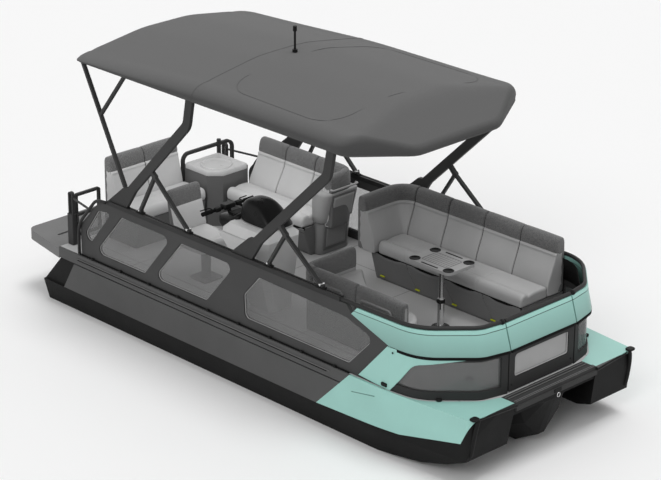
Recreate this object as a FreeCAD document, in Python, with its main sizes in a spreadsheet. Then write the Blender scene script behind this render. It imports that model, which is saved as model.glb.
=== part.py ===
import FreeCAD, Part
import math
import os

import Sketcher

# A modular three-hull pontoon boat with a jet drive, a folding-frame sun top and loose-laid seats.
# Frame: +X to the bow, +Y to port, +Z up. The origin is at mid length, on the centre line,
# at the lowest point of the keels. Every length is in millimetres.

os.makedirs("parts", exist_ok=True)
document = FreeCAD.newDocument("pontoon_boat")

# Driving dimensions, one cell each. Names ending in _x, _y and _z are places in the boat's frame.
DIMENSIONS = (
    # Hulls
    ("half_beam", 1240),
    ("hull_rear_x", -2870),
    ("hull_rear_top_x", -2480),
    ("hull_rear_knee_z", 242),
    ("hull_top_z", 660),
    ("keel_z", 0),
    ("hull_width", 440),
    ("lower_hull_draft", 70),
    ("seam_z", 250),
    ("bow_bend_x", 2150),
    ("bow_bend_radius", 3600),
    ("bow_corner_x", 3215),
    ("bow_corner_inset", 105),
    ("bow_corner_radius", 70),
    ("bow_lip_x", 3275),
    ("bow_lift_x", 2087),
    ("bow_lift_mid_x", 2600),
    ("bow_lift_mid_z", 56),
    ("bow_lift_low_x", 2936),
    ("bow_lift_low_z", 152),
    ("bow_chin_x", 3182),
    ("bow_chin_z", 264),
    ("bow_face_top_x", 3249),
    ("centre_hull_half", 430),
    ("centre_keel_half", 70),
    ("centre_chine_z", 250),
    ("centre_chine_half", 390),
    ("centre_lift_x", 2828),
    ("stem_foot_x", 3083),
    ("stem_foot_z", 133),
    ("stem_head_x", 3225),
    ("stem_chine_rise", 186),
    ("roof_z", 560),
    ("shelf_rear_x", -2950),
    ("shelf_low_z", 490),
    ("shelf_inset", 180),
    ("groove_width", 14),
    ("groove_depth", 10),
    # Side shells and bow caps
    ("shell_thickness", 25),
    ("shell_rear_low_x", -2523),
    ("shell_rear_top_x", -2338),
    ("shell_top_z", 564),
    ("band_low_z", 574),
    ("band_step", 6),
    ("cap_rear_low_x", 1321),
    ("cap_rear_top_x", 1765),
    ("cap_seam_mid_x", 2400),
    ("cap_seam_mid_z", 292),
    ("cap_seam_tip_x", 3110),
    ("cap_seam_tip_z", 428),
    ("cap_nose_x", 3222),
    ("cap_joint", 4),
    # Deck, step and platform
    ("deck_top_z", 690),
    ("deck_rear_x", -2590),
    ("deck_front_x", 3072),
    ("deck_bend_x", 2600),
    ("deck_bend_inset", 55),
    ("deck_turn_x", 3000),
    ("deck_turn_y", 760),
    ("deck_turn_radius", 240),
    ("step_front_x", 3267),
    ("step_half", 568),
    ("step_rail_height", 22),
    ("platform_rear_x", -3275),
    ("platform_rear_inset", 129),
    ("platform_front_inset", 4),
    ("platform_top_z", 668),
    ("platform_corner_radius", 110),
    ("platform_seam_y", 560),
    ("platform_seam_width", 8),
    ("platform_seam_depth", 5),
    ("handle_x", -2895),
    ("handle_inset", 315),
    ("handle_length", 160),
    ("handle_width", 34),
    ("handle_radius", 15),
    # Jet drive
    ("jet_z", 205),
    ("pump_radius", 120),
    ("pump_rear_x", -2860),
    ("transom_x", -2700),
    ("ear_height", 26),
    ("ear_width", 50),
    ("ear_length", 60),
    ("nozzle_front_radius", 84),
    ("nozzle_rear_radius", 62),
    ("nozzle_bore_radius", 52),
    ("nozzle_length", 110),
    ("nozzle_pin_radius", 10),
    ("bucket_radius", 262),
    ("bucket_thickness", 12),
    ("bucket_half_width", 142),
    ("bucket_pivot_x", -2795),
    ("bucket_boss_radius", 30),
    ("bucket_lug", 20),
    ("engine_rear_x", -2400),
    ("engine_length", 700),
    ("engine_half_width", 250),
    ("engine_low_z", 190),
    ("engine_height", 380),
    ("engine_bay_gap", 20),
    # Side walls and their windows
    ("wall_inset", 40),
    ("wall_thickness", 40),
    ("wall_rear_x", -2247),
    ("wall_knee_z", 1031),
    ("wall_rear_top_x", -1921),
    ("wall_top_z", 1378),
    ("wall_front_x", 2253),
    ("wall_notch_x", 1750),
    ("wall_notch_z", 1299),
    ("wall_notch_end_x", 2110),
    ("wall_notch_end_z", 1176),
    ("wall_corner_radius", 130),
    ("window_low_z", 782),
    ("window_top_z", 1300),
    ("window_radius", 60),
    ("pane_thickness", 8),
    # Rails
    ("rail_height", 47),
    ("rail_width", 56),
    ("rail_slot_width", 16),
    ("rail_slot_depth", 14),
    ("rail_rear_x", -1790),
    ("rail_front_x", 1600),
    ("tube_radius", 19),
    ("tube_z", 1397),
    ("tube_set_back", 50),
    ("tube_front_x", 2986),
    # Bow frame, fairing and gate
    ("frame_bend_x", 2590),
    ("frame_bend_inset", 75),
    ("frame_bend_radius", 480),
    ("frame_turn_x", 2990),
    ("frame_turn_y", 750),
    ("frame_turn_radius", 240),
    ("frame_front_x", 3060),
    ("frame_thickness", 40),
    ("frame_top_z", 1130),
    ("frame_sill", 84),
    ("frame_head", 56),
    ("frame_post", 70),
    ("frame_window_x", 2320),
    ("gate_window_half", 376),
    ("gate_half", 452),
    ("gate_gap", 16),
    ("gate_low_z", 700),
    ("gate_sill", 128),
    ("fairing_low_z", 1130),
    ("fairing_top_z", 1378),
    ("fairing_thickness", 38),
    ("fairing_bulge", 22),
    ("cheek_thickness", 9),
    ("cheek_foot_x", 1858),
    ("cheek_foot_z", 716),
    ("cheek_toe_x", 2262),
    ("cheek_tip_x", 2895),
    ("cheek_tip_z", 1096),
    ("cheek_sweep", 160),
    ("hinge_x", 2950),
    ("hinge_radius", 9),
    ("hinge_height", 60),
    ("hinge_low_z", 780),
    ("hinge_top_z", 1000),
    ("hinge_play", 0.5),
    # Bow lounge on the port side
    ("seat_z", 1140),
    ("seat_cushion", 130),
    ("seat_radius", 45),
    ("seat_gap", 1),
    ("lounge_rear_x", 150),
    ("lounge_front_x", 2346),
    ("lounge_edge_inset", 740),
    ("lounge_foot_inset", 640),
    ("lounge_back_inset", 350),
    ("back_outer_inset", 110),
    ("back_top_z", 1590),
    ("back_head_depth", 105),
    ("back_waist_depth", 142),
    ("lounge_wrap_inset", 790),
    ("lounge_wrap_depth", 150),
    ("recess_depth", 22),
    ("recess_height", 26),
    # Bow bench on the starboard side
    ("bench_rear_x", 640),
    ("bench_front_x", 2031),
    ("bench_outer_inset", 440),
    ("bench_bend_x", 1066),
    ("bench_bend_inset", 924),
    ("bench_nose_inset", 740),
    ("bench_head_inset", 1224),
    ("bench_back_top_z", 1350),
    ("bench_back_depth", 90),
    ("bench_back_radius", 108),
    # Table
    ("table_x", 1610),
    ("table_y", 165),
    ("table_z", 1400),
    ("table_length", 560),
    ("table_width", 400),
    ("table_thickness", 32),
    ("table_corner", 60),
    ("cup_radius", 45),
    ("cup_rim", 12),
    ("cup_depth", 22),
    ("post_radius", 24),
    ("post_sleeve_radius", 34),
    ("post_sleeve_height", 300),
    ("post_foot_radius", 90),
    ("post_foot_height", 12),
    # Helm
    ("helm_inset", 580),
    ("console_half", 270),
    ("console_rear_x", -410),
    ("console_front_x", 265),
    ("console_shoulder_z", 1240),
    ("console_top_z", 1450),
    ("console_crown_z", 1520),
    ("console_bevel", 75),
    ("console_foot_rear_x", -120),
    ("console_foot_front_x", 225),
    ("console_foot_half", 150),
    ("visor_top_z", 1776),
    ("visor_rear_x", -130),
    ("visor_front_x", 40),
    ("visor_half", 110),
    ("pod_rear_x", -640),
    ("pod_half", 95),
    ("pod_low_z", 1330),
    ("pod_top_z", 1475),
    ("bar_x", -555),
    ("bar_z", 1570),
    ("bar_half", 340),
    ("bar_radius", 17),
    ("column_radius", 20),
    ("steering_gap", 8),
    ("steering_lean", 90),
    ("helm_x", -900),
    ("helm_plate", 255),
    ("helm_plate_height", 14),
    ("helm_post_radius", 50),
    ("helm_seat_low_z", 1040),
    ("helm_seat_depth", 420),
    ("helm_seat_width", 450),
    ("helm_back_top_z", 1600),
    ("helm_back_depth", 120),
    # Aft seats
    ("sofa_rear_x", -1780),
    ("sofa_front_x", -430),
    ("sofa_edge_inset", 840),
    ("sofa_foot_inset", 720),
    ("sofa_back_inset", 520),
    ("sofa_outer_inset", 240),
    ("sofa_end_depth", 150),
    ("sofa_end_flare", 90),
    ("aft_rear_x", -2480),
    ("aft_edge_x", -1900),
    ("aft_back_x", -2270),
    ("aft_side_inset", 549),
    ("corner_gap", 40),
    ("corner_half", 240),
    ("corner_x", -2060),
    ("corner_inset", 720),
    ("corner_top_z", 1300),
    ("tray_radius", 150),
    ("tray_depth", 24),
    # Stern posts, rail and gate
    ("post_x", -2545),
    ("post_inset", 160),
    ("stern_post_depth", 90),
    ("stern_post_width", 60),
    ("stern_post_top_z", 1033),
    ("stern_tube_top_z", 1270),
    ("stern_rail_z", 1400),
    ("stern_mast_z", 1450),
    ("stern_mast_radius", 24),
    ("stern_mast_inset", 440),
    ("stern_rail_x", -2330),
    ("stern_gate_inset", 540),
    ("stern_gate_low_z", 760),
    ("stern_gate_top_z", 1240),
    ("stern_gate_bar", 30),
    ("stern_hinge_low_z", 850),
    ("stern_hinge_top_z", 970),
    ("grab_z", 1205),
    ("grab_end_x", -2040),
    # Sun top
    ("canopy_rear_x", -2300),
    ("canopy_front_x", 1960),
    ("canopy_inset", 30),
    ("canopy_front_half", 560),
    ("canopy_low_z", 2815),
    ("canopy_top_z", 3105),
    ("canopy_side_z", 2985),
    ("canopy_nose_z", 2740),
    ("canopy_tail_x", -300),
    ("canopy_droop", 120),
    ("canopy_crease_x", 1530),
    ("canopy_crease_z", 2850),
    ("canopy_corner_x", 1600),
    ("canopy_wall", 14),
    ("canopy_tuck", 90),
    ("canopy_shoulder", 135),
    ("canopy_roll", 110),
    ("arm_width", 96),
    ("arm_depth", 40),
    ("arm_bend_radius", 160),
    ("rear_arm_foot_x", -1440),
    ("rear_arm_bend_x", -560),
    ("rear_arm_bend_z", 2545),
    ("rear_arm_top_x", -505),
    ("front_arm_foot_x", 430),
    ("front_plate_rear_x", 82),
    ("front_arm_bend_x", 1400),
    ("front_arm_bend_z", 2560),
    ("front_arm_top_x", 1455),
    ("arm_top_z", 2822),
    ("arm_foot_z", 1640),
    ("arm_plate_length", 290),
    ("strut_width", 28),
    ("bow_set_in", 24),
    ("bow_hem_rise", 45),
    ("clevis_width", 45),
    ("rear_clevis_x", -1065),
    ("rear_clevis_z", 1875),
    ("front_clevis_x", 832),
    ("front_clevis_z", 1812),
    ("strut_foot_spread", 490),
    ("strut_foot_back", 240),
    ("quarter_strut_top_x", -2160),
    ("quarter_fork_x", -1889),
    ("quarter_fork_z", 2320),
    ("quarter_branch_x", -1480),
    ("mast_x", -273),
    ("mast_radius", 11),
    ("mast_top_z", 3370),
    ("mast_head_radius", 26),
    ("mast_lamp_radius", 20),
    ("overrun", 20),
    ("rest_gap", 0.3),
)


class Length:
    """A length in millimetres with the sheet formula that gives it."""

    def __init__(self, value, formula):
        self.value = value
        self.formula = formula

    def __add__(self, other):
        other = as_length(other)
        return Length(self.value + other.value, f"({self.formula} + {other.formula})")

    __radd__ = __add__

    def __sub__(self, other):
        other = as_length(other)
        return Length(self.value - other.value, f"({self.formula} - {other.formula})")

    def __rsub__(self, other):
        return as_length(other) - self

    def __mul__(self, share):
        return Length(self.value * share, f"({self.formula} * {share:.9f})")

    __rmul__ = __mul__

    def __truediv__(self, share):
        return self * (1 / share)

    def __neg__(self):
        return self * -1


def as_length(amount):
    """Lets a plain number, such as zero, stand beside lengths in a sum."""
    if isinstance(amount, Length):
        return amount
    return Length(amount, f"({amount})")


class Dimensions:
    """The lengths of the sheet, read by their names."""


def fill_sheet(rows):
    """Writes the driving dimensions into a sheet and returns them as named lengths."""
    sheet = document.addObject("Spreadsheet::Sheet", "Sizes")
    named = Dimensions()
    for number, (name, value) in enumerate(rows, start=1):
        sheet.set(f"A{number}", name)
        sheet.set(f"B{number}", str(value))
        sheet.setAlias(f"B{number}", name)
        setattr(named, name, Length(value, f"Sizes.{name}"))
    document.recompute()
    return named


def bind(thing, property_name, length):
    """Ties a property of a document object to the sheet."""
    thing.setExpression(property_name, as_length(length).formula)


def plane_of(body, role):
    """Finds one of a body's own origin planes."""
    return next(item for item in body.Origin.OriginFeatures if item.Role == role)


def point(corner):
    """The present place of a corner, as a vector in the sketch plane."""
    return FreeCAD.Vector(as_length(corner[0]).value, as_length(corner[1]).value, 0)


def corner_radius(corner):
    """The rounding of a corner, or nothing where it is sharp."""
    if len(corner) > 2:
        return corner[2]
    return None


def tangent_length(before, here, after, radius):
    """How far from its corner a rounding of the given radius starts."""
    to_before = (before - here).normalize()
    to_after = (after - here).normalize()
    half_angle = to_before.getAngle(to_after) / 2
    return radius / math.tan(half_angle)


def draw_outline(sketch, corners, closed=True):
    """Draws straight runs with rounded corners, every corner tied to the sheet."""
    count = len(corners)
    places = [point(corner) for corner in corners]
    trims = []
    for index in range(count):
        radius = corner_radius(corners[index])
        is_end = not closed and index in (0, count - 1)
        if radius is None or is_end:
            trims.append(0)
            continue
        before = places[index - 1]
        after = places[(index + 1) % count]
        trims.append(tangent_length(before, places[index], after, as_length(radius).value))
    runs = count if closed else count - 1
    first_run = sketch.GeometryCount
    for index in range(runs):
        start = places[index]
        end = places[(index + 1) % count]
        along = (end - start).normalize()
        start = start + along * trims[index]
        end = end - along * trims[(index + 1) % count]
        sketch.addGeometry(Part.LineSegment(start, end), False)
    for index in range(count):
        next_run = first_run + index if closed or index < count - 1 else None
        last_run = first_run + (index - 1) % runs if closed or index > 0 else None
        if trims[index]:
            join_with_arc(sketch, places, index, trims[index], last_run, next_run, corners[index])
        else:
            join_sharply(sketch, last_run, next_run, corners[index])


def tie_point(sketch, geometry, position, corner):
    """Ties one point of a sketch to the two lengths of a corner."""
    spot = point(corner)
    across = sketch.addConstraint(
        Sketcher.Constraint("DistanceX", -1, 1, geometry, position, spot.x))
    bind(sketch, f"Constraints[{across}]", corner[0])
    upward = sketch.addConstraint(
        Sketcher.Constraint("DistanceY", -1, 1, geometry, position, spot.y))
    bind(sketch, f"Constraints[{upward}]", corner[1])


def join_sharply(sketch, last_run, next_run, corner):
    """Joins two runs in a sharp corner, or ends an open outline."""
    if next_run is None:
        tie_point(sketch, last_run, 2, corner)
        return
    if last_run is not None:
        sketch.addConstraint(Sketcher.Constraint("Coincident", last_run, 2, next_run, 1))
    tie_point(sketch, next_run, 1, corner)


def join_with_arc(sketch, places, index, trim, last_run, next_run, corner):
    """Rounds the corner between two runs with a tangent arc."""
    here = places[index]
    before = (places[index - 1] - here).normalize()
    after = (places[(index + 1) % len(places)] - here).normalize()
    radius = as_length(corner[2])
    middle = (before + after).normalize()
    half_angle = before.getAngle(after) / 2
    centre = here + middle * (radius.value / math.sin(half_angle))
    first = here + before * trim - centre
    second = here + after * trim - centre
    turns_left = first.cross(second).z > 0
    start, end = (first, second) if turns_left else (second, first)
    start_angle = math.atan2(start.y, start.x)
    end_angle = math.atan2(end.y, end.x)
    circle = Part.Circle(centre, FreeCAD.Vector(0, 0, 1), radius.value)
    arc = sketch.addGeometry(Part.ArcOfCircle(circle, start_angle, end_angle), False)
    near, far = (1, 2) if turns_left else (2, 1)
    sketch.addConstraint(Sketcher.Constraint("Tangent", last_run, 2, arc, near))
    sketch.addConstraint(Sketcher.Constraint("Tangent", next_run, 1, arc, far))
    size = sketch.addConstraint(Sketcher.Constraint("Radius", arc, radius.value))
    bind(sketch, f"Constraints[{size}]", radius)
    mark = sketch.addGeometry(Part.Point(here), True)
    sketch.addConstraint(Sketcher.Constraint("PointOnObject", mark, 1, last_run))
    sketch.addConstraint(Sketcher.Constraint("PointOnObject", mark, 1, next_run))
    tie_point(sketch, mark, 1, corner)


def draw_circle(sketch, centre, radius):
    """Draws a circle whose centre and radius are tied to the sheet."""
    circle = Part.Circle(point(centre), FreeCAD.Vector(0, 0, 1), as_length(radius).value)
    ring = sketch.addGeometry(circle, False)
    size = sketch.addConstraint(Sketcher.Constraint("Radius", ring, as_length(radius).value))
    bind(sketch, f"Constraints[{size}]", radius)
    tie_point(sketch, ring, 3, centre)


def sketch_on(body, role, offset):
    """Starts a sketch on a body's own plane, moved along the plane's normal."""
    sketch = body.newObject("Sketcher::SketchObject", "Outline")
    sketch.AttachmentSupport = [(plane_of(body, role), "")]
    sketch.MapMode = "FlatFace"
    bind(sketch, "AttachmentOffset.Base.z", offset)
    return sketch


def new_body(label):
    """Starts a sub-part."""
    body = document.addObject("PartDesign::Body", label)
    body.Label = label
    return body


def pad_offset(role, low, high):
    """Where a pad's sketch lies along its plane's normal: the XZ plane looks to starboard."""
    if role == "XZ_Plane":
        return -as_length(high)
    return as_length(low)


def cut_offset(role, low, high):
    """Where a pocket's sketch lies, so that the pocket runs from it into the solid."""
    if role == "XZ_Plane":
        return -as_length(low)
    return as_length(high)


def pad(body, role, low, high, *outlines):
    """Adds a prism between two places along the plane's axis."""
    sketch = sketch_on(body, role, pad_offset(role, low, high))
    for outline in outlines:
        draw_outline(sketch, outline)
    return finish_pad(body, sketch, low, high)


def finish_pad(body, sketch, low, high):
    """Extrudes a drawn sketch into a pad."""
    feature = body.newObject("PartDesign::Pad", "Pad")
    feature.Profile = sketch
    bind(feature, "Length", as_length(high) - as_length(low))
    return feature


def pad_rings(body, role, low, high, *circles):
    """Adds round bars or tubes, each circle given as its centre and radius."""
    sketch = sketch_on(body, role, pad_offset(role, low, high))
    for centre, radius in circles:
        draw_circle(sketch, centre, radius)
    return finish_pad(body, sketch, low, high)


def pocket(body, role, low, high, *outlines):
    """Cuts a prism between two places along the plane's axis."""
    sketch = sketch_on(body, role, cut_offset(role, low, high))
    for outline in outlines:
        draw_outline(sketch, outline)
    return finish_pocket(body, sketch, low, high)


def finish_pocket(body, sketch, low, high):
    """Cuts a drawn sketch as a pocket."""
    feature = body.newObject("PartDesign::Pocket", "Pocket")
    feature.Profile = sketch
    bind(feature, "Length", as_length(high) - as_length(low))
    return feature


def pocket_rings(body, role, low, high, *circles):
    """Cuts round holes, each circle given as its centre and radius."""
    sketch = sketch_on(body, role, cut_offset(role, low, high))
    for centre, radius in circles:
        draw_circle(sketch, centre, radius)
    return finish_pocket(body, sketch, low, high)


def loft(body, role, *sections):
    """Adds a solid that runs straight from outline to outline, each given with its place."""
    sketches = []
    for place, outline in sections:
        sketch = sketch_on(body, role, -place if role == "XZ_Plane" else place)
        draw_outline(sketch, outline)
        sketches.append(sketch)
    feature = body.newObject("PartDesign::AdditiveLoft", "Loft")
    feature.Profile = sketches[0]
    feature.Sections = sketches[1:]
    feature.Ruled = True
    return feature


def rectangle(low_u, high_u, low_v, high_v, radius=None):
    """The corners of a rectangle, rounded where a radius is given."""
    corners = [(low_u, low_v), (high_u, low_v), (high_u, high_v), (low_u, high_v)]
    if radius is None:
        return corners
    return [corner + (radius,) for corner in corners]


def offset_line(corners, distance):
    """Moves an open line of corners sideways, to its left, keeping its roundings concentric."""
    places = [point(corner) for corner in corners]
    moved = []
    for index, corner in enumerate(corners):
        normals = []
        if index > 0:
            normals.append(left_normal(places[index - 1], places[index]))
        if index < len(corners) - 1:
            normals.append(left_normal(places[index], places[index + 1]))
        shift = normals[0]
        if len(normals) == 2:
            total = normals[0] + normals[1]
            shift = total * (2 / total.dot(total))
        shares = (shift.x, shift.y)
        new_corner = (corner[0] + distance * shares[0], corner[1] + distance * shares[1])
        radius = corner_radius(corner)
        if radius is not None and len(normals) == 2:
            turns_left = normals[0].cross(normals[1]).z > 0
            radius = radius - distance if turns_left else radius + distance
            new_corner = new_corner + (radius,)
        moved.append(new_corner)
    return moved


def left_normal(start, end):
    """The unit vector to the left of a run."""
    along = (end - start).normalize()
    return FreeCAD.Vector(-along.y, along.x, 0)


def strip(corners, width):
    """The closed outline of a band of the given width to the left of a line of corners."""
    left = offset_line(corners, as_length(width))
    return strip_ends(corners) + list(reversed(strip_ends(left)))


def strip_ends(corners):
    """Leaves the two end corners of a line sharp."""
    middle = list(corners[1:-1])
    return [tuple(corners[0][:2])] + middle + [tuple(corners[-1][:2])]


def centred_strip(corners, width):
    """The closed outline of a band that lies half to each side of a line of corners."""
    right = offset_line(corners, -as_length(width) / 2)
    left = offset_line(corners, as_length(width) / 2)
    return strip_ends(right) + list(reversed(strip_ends(left)))


def mirror_y(corners):
    """The same corners on the other side of the centre line, in plan or in section."""
    return [(corner[0], -corner[1]) + tuple(corner[2:]) for corner in corners]


def both_sides(corners):
    """A plan outline made of a starboard line and its mirror image on the port side."""
    return list(corners) + list(reversed(mirror_y(corners)))


def mirrored(source, label):
    """The port twin of a starboard sub-part."""
    twin = document.addObject("Part::Mirroring", label)
    twin.Label = label
    twin.Source = source
    twin.Normal = FreeCAD.Vector(0, 1, 0)
    return twin


def grouped(label, members):
    """Pieces of one sub-part that don't touch or only meet face to face."""
    group = document.addObject("Part::Compound", label)
    group.Label = label
    group.Links = members
    return group


def joined(label, members):
    """Pieces fused into one solid."""
    fusion = document.addObject("Part::MultiFuse", label)
    fusion.Label = label
    fusion.Shapes = members
    fusion.Refine = True
    return fusion


def common(label, members):
    """The space that several bodies share."""
    shared = document.addObject("Part::MultiCommon", label)
    shared.Label = label
    shared.Shapes = members
    return shared


def difference(label, base, tool):
    """One body less another."""
    cut = document.addObject("Part::Cut", label)
    cut.Label = label
    cut.Base = base
    cut.Tool = tool
    return cut


size = fill_sheet(DIMENSIONS)
nodes = []

# Places that follow the beam, each a fixed distance in from the side of the hull.
size.hull_inner_y = size.half_beam - size.hull_width
size.bow_corner_y = size.half_beam - size.bow_corner_inset
size.deck_bend_y = size.half_beam - size.deck_bend_inset
size.platform_rear_y = size.half_beam - size.platform_rear_inset
size.platform_front_y = size.half_beam - size.platform_front_inset
size.handle_y = size.handle_inset - size.half_beam
size.wall_y = size.half_beam - size.wall_inset
size.frame_bend_y = size.half_beam - size.frame_bend_inset
size.lounge_edge_y = size.half_beam - size.lounge_edge_inset
size.lounge_foot_y = size.half_beam - size.lounge_foot_inset
size.lounge_back_y = size.half_beam - size.lounge_back_inset
size.back_outer_y = size.half_beam - size.back_outer_inset
size.lounge_wrap_y = size.half_beam - size.lounge_wrap_inset
size.bench_outer_y = size.bench_outer_inset - size.half_beam
size.bench_bend_y = size.bench_bend_inset - size.half_beam
size.bench_nose_y = size.bench_nose_inset - size.half_beam
size.bench_head_y = size.bench_head_inset - size.half_beam
size.helm_y = size.helm_inset - size.half_beam
size.sofa_edge_y = size.half_beam - size.sofa_edge_inset
size.sofa_foot_y = size.half_beam - size.sofa_foot_inset
size.sofa_back_y = size.half_beam - size.sofa_back_inset
size.sofa_outer_y = size.half_beam - size.sofa_outer_inset
size.aft_side_y = size.aft_side_inset - size.half_beam
size.corner_y = size.half_beam - size.corner_inset
size.post_y = size.half_beam - size.post_inset
size.stern_mast_y = size.half_beam - size.stern_mast_inset
size.stern_gate_y = size.stern_gate_inset - size.half_beam
size.canopy_half = size.half_beam - size.canopy_inset
size.shelf_half = size.hull_inner_y - size.shelf_inset
size.aft_inner_y = size.corner_y - size.corner_half - size.corner_gap


def keep(*finished):
    """Marks sub-parts that are written out as nodes."""
    nodes.extend(finished)


def bow_plan(inset):
    """The starboard side line of the hull in plan, from the stern round to the bow lip."""
    side_y = -(size.half_beam - inset)
    return [
        (size.bow_bend_x, side_y, size.bow_bend_radius),
        (size.bow_corner_x - inset, -(size.bow_corner_y - inset), size.bow_corner_radius),
        (size.bow_lip_x - inset, -size.step_half),
    ]


def deck_line():
    """The starboard edge of the deck, from the stern to the gate."""
    side_y = -(size.half_beam - size.shell_thickness)
    return [
        (size.deck_rear_x, side_y),
        (size.wall_front_x, side_y),
        (size.deck_bend_x, -size.deck_bend_y, size.frame_bend_radius),
        (size.deck_turn_x, -size.deck_turn_y, size.deck_turn_radius),
        (size.deck_front_x, -size.step_half),
    ]


def frame_line():
    """The outer face of the bow frame in plan, from the side wall to the gate."""
    return [
        (size.wall_front_x, -size.wall_y),
        (size.frame_bend_x, -size.frame_bend_y, size.frame_bend_radius),
        (size.frame_turn_x, -size.frame_turn_y, size.frame_turn_radius),
        (size.frame_front_x, -(size.gate_half + size.gate_gap)),
    ]


# Hulls

def make_side_hull():
    body = new_body("hull_starboard")
    inner = [(size.bow_lift_mid_x, -size.hull_inner_y), (size.hull_rear_x, -size.hull_inner_y)]
    outline = [(size.hull_rear_x, -size.half_beam)] + bow_plan(as_length(0)) + inner
    pad(body, "XY_Plane", size.seam_z, size.hull_top_z, outline)
    keel_y = size.hull_inner_y + size.lower_hull_draft
    keel_outline = [(size.hull_rear_x, -(size.half_beam - size.lower_hull_draft))]
    keel_outline += bow_plan(size.lower_hull_draft)
    keel_outline += [(size.bow_lift_mid_x, -keel_y), (size.hull_rear_x, -keel_y)]
    loft(body, "XY_Plane", (size.keel_z, keel_outline), (size.seam_z, outline))
    above_seam = [
        (size.hull_rear_x - size.overrun, size.seam_z),
        (size.cap_rear_low_x, size.seam_z),
        (size.cap_seam_mid_x, size.cap_seam_mid_z),
        (size.cap_seam_tip_x, size.cap_seam_tip_z),
        (size.cap_nose_x, size.hull_top_z),
        (size.hull_rear_x - size.overrun, size.hull_top_z),
    ]
    pocket(body, "XZ_Plane", -size.half_beam - size.overrun, size.overrun, above_seam)
    core_outline = [(size.hull_rear_x, -(size.half_beam - size.shell_thickness))]
    core_outline += bow_plan(size.shell_thickness) + inner
    pad(body, "XY_Plane", size.seam_z - size.overrun, size.hull_top_z, core_outline)
    stern = [
        (size.hull_rear_x - size.overrun, size.keel_z - size.overrun),
        (size.hull_rear_x, size.keel_z - size.overrun),
        (size.hull_rear_x, size.hull_rear_knee_z),
        (size.hull_rear_top_x, size.hull_top_z + size.overrun),
        (size.hull_rear_x - size.overrun, size.hull_top_z + size.overrun),
    ]
    low = size.keel_z - size.overrun
    bow = [
        (size.bow_lift_x, low),
        (size.bow_lift_x, size.keel_z),
        (size.bow_lift_mid_x, size.bow_lift_mid_z),
        (size.bow_lift_low_x, size.bow_lift_low_z),
        (size.bow_chin_x, size.bow_chin_z),
        (size.bow_face_top_x, size.hull_top_z),
        (size.bow_face_top_x, size.hull_top_z + size.overrun),
        (size.bow_lip_x + size.overrun, size.hull_top_z + size.overrun),
        (size.bow_lip_x + size.overrun, low),
    ]
    pocket(body, "XZ_Plane", -size.half_beam - size.overrun, size.overrun, stern, bow)
    return body


hull_starboard = make_side_hull()
keep(hull_starboard, mirrored(hull_starboard, "hull_port"))


def centre_section(half, chine_half, keel_half, chine_z, keel_z, top_z):
    """A cross-section of the centre hull, from port deck edge down to the keel and up again."""
    port = [(half, top_z), (chine_half, chine_z), (keel_half, keel_z)]
    starboard = [(-corner[0], corner[1]) for corner in reversed(port)]
    return port + starboard


# Shares of the full width that deck edge, chine and keel keep at the foot and head of the stem.
STEM_FOOT_SHARES = (0.8, 0.62, 0.6)
STEM_HEAD_SHARES = (0.35, 0.3, 0.4)


def stem_section(shares, chine_z, keel_z):
    """A cross-section of the centre hull where it narrows to the stem."""
    edge_share, chine_share, keel_share = shares
    return centre_section(size.centre_hull_half * edge_share,
                          size.centre_chine_half * chine_share,
                          size.centre_keel_half * keel_share, chine_z, keel_z, size.roof_z)


def make_centre_hull():
    body = new_body("hull_centre")
    full = centre_section(size.centre_hull_half, size.centre_chine_half, size.centre_keel_half,
                          size.centre_chine_z, size.keel_z, size.roof_z)
    foot_chine_z = size.stem_foot_z + size.stem_chine_rise
    foot = stem_section(STEM_FOOT_SHARES, foot_chine_z, size.stem_foot_z)
    head = stem_section(STEM_HEAD_SHARES, size.roof_z - size.groove_depth,
                        size.roof_z - size.groove_width)
    pad(body, "YZ_Plane", size.transom_x, size.centre_lift_x, full)
    loft(body, "YZ_Plane", (size.centre_lift_x, full), (size.stem_foot_x, foot))
    loft(body, "YZ_Plane", (size.stem_foot_x, foot), (size.stem_head_x, head))
    roof = both_sides([
        (size.deck_rear_x, -size.hull_inner_y),
        (size.bow_lift_mid_x, -size.hull_inner_y),
        (size.bow_lip_x - size.shell_thickness, -size.step_half),
    ])
    pad(body, "XY_Plane", size.roof_z, size.hull_top_z, roof)
    nose = rectangle(size.stem_head_x, size.bow_lip_x + size.overrun,
                     size.roof_z - size.overrun, size.hull_top_z + size.overrun)
    pocket(body, "XZ_Plane", -size.hull_inner_y, size.hull_inner_y, nose)
    shelf = rectangle(size.shelf_rear_x, size.deck_rear_x + size.overrun,
                      -size.shelf_half, size.shelf_half)
    pad(body, "XY_Plane", size.shelf_low_z, size.roof_z, shelf)
    gap = size.engine_bay_gap
    bay_half = size.engine_half_width + gap
    bay = rectangle(size.engine_rear_x - gap, size.engine_rear_x + size.engine_length + gap,
                    -bay_half, bay_half)
    pocket(body, "XY_Plane", size.engine_low_z, size.hull_top_z, bay)
    return body


keep(make_centre_hull())


# Side shells and bow caps

def slant_x(place_z):
    """Where the slanted joint between side shell and bow cap lies at a height."""
    rise = (place_z.value - size.seam_z.value) / (size.deck_top_z.value - size.seam_z.value)
    return size.cap_rear_low_x + (size.cap_rear_top_x - size.cap_rear_low_x) * rise


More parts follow.
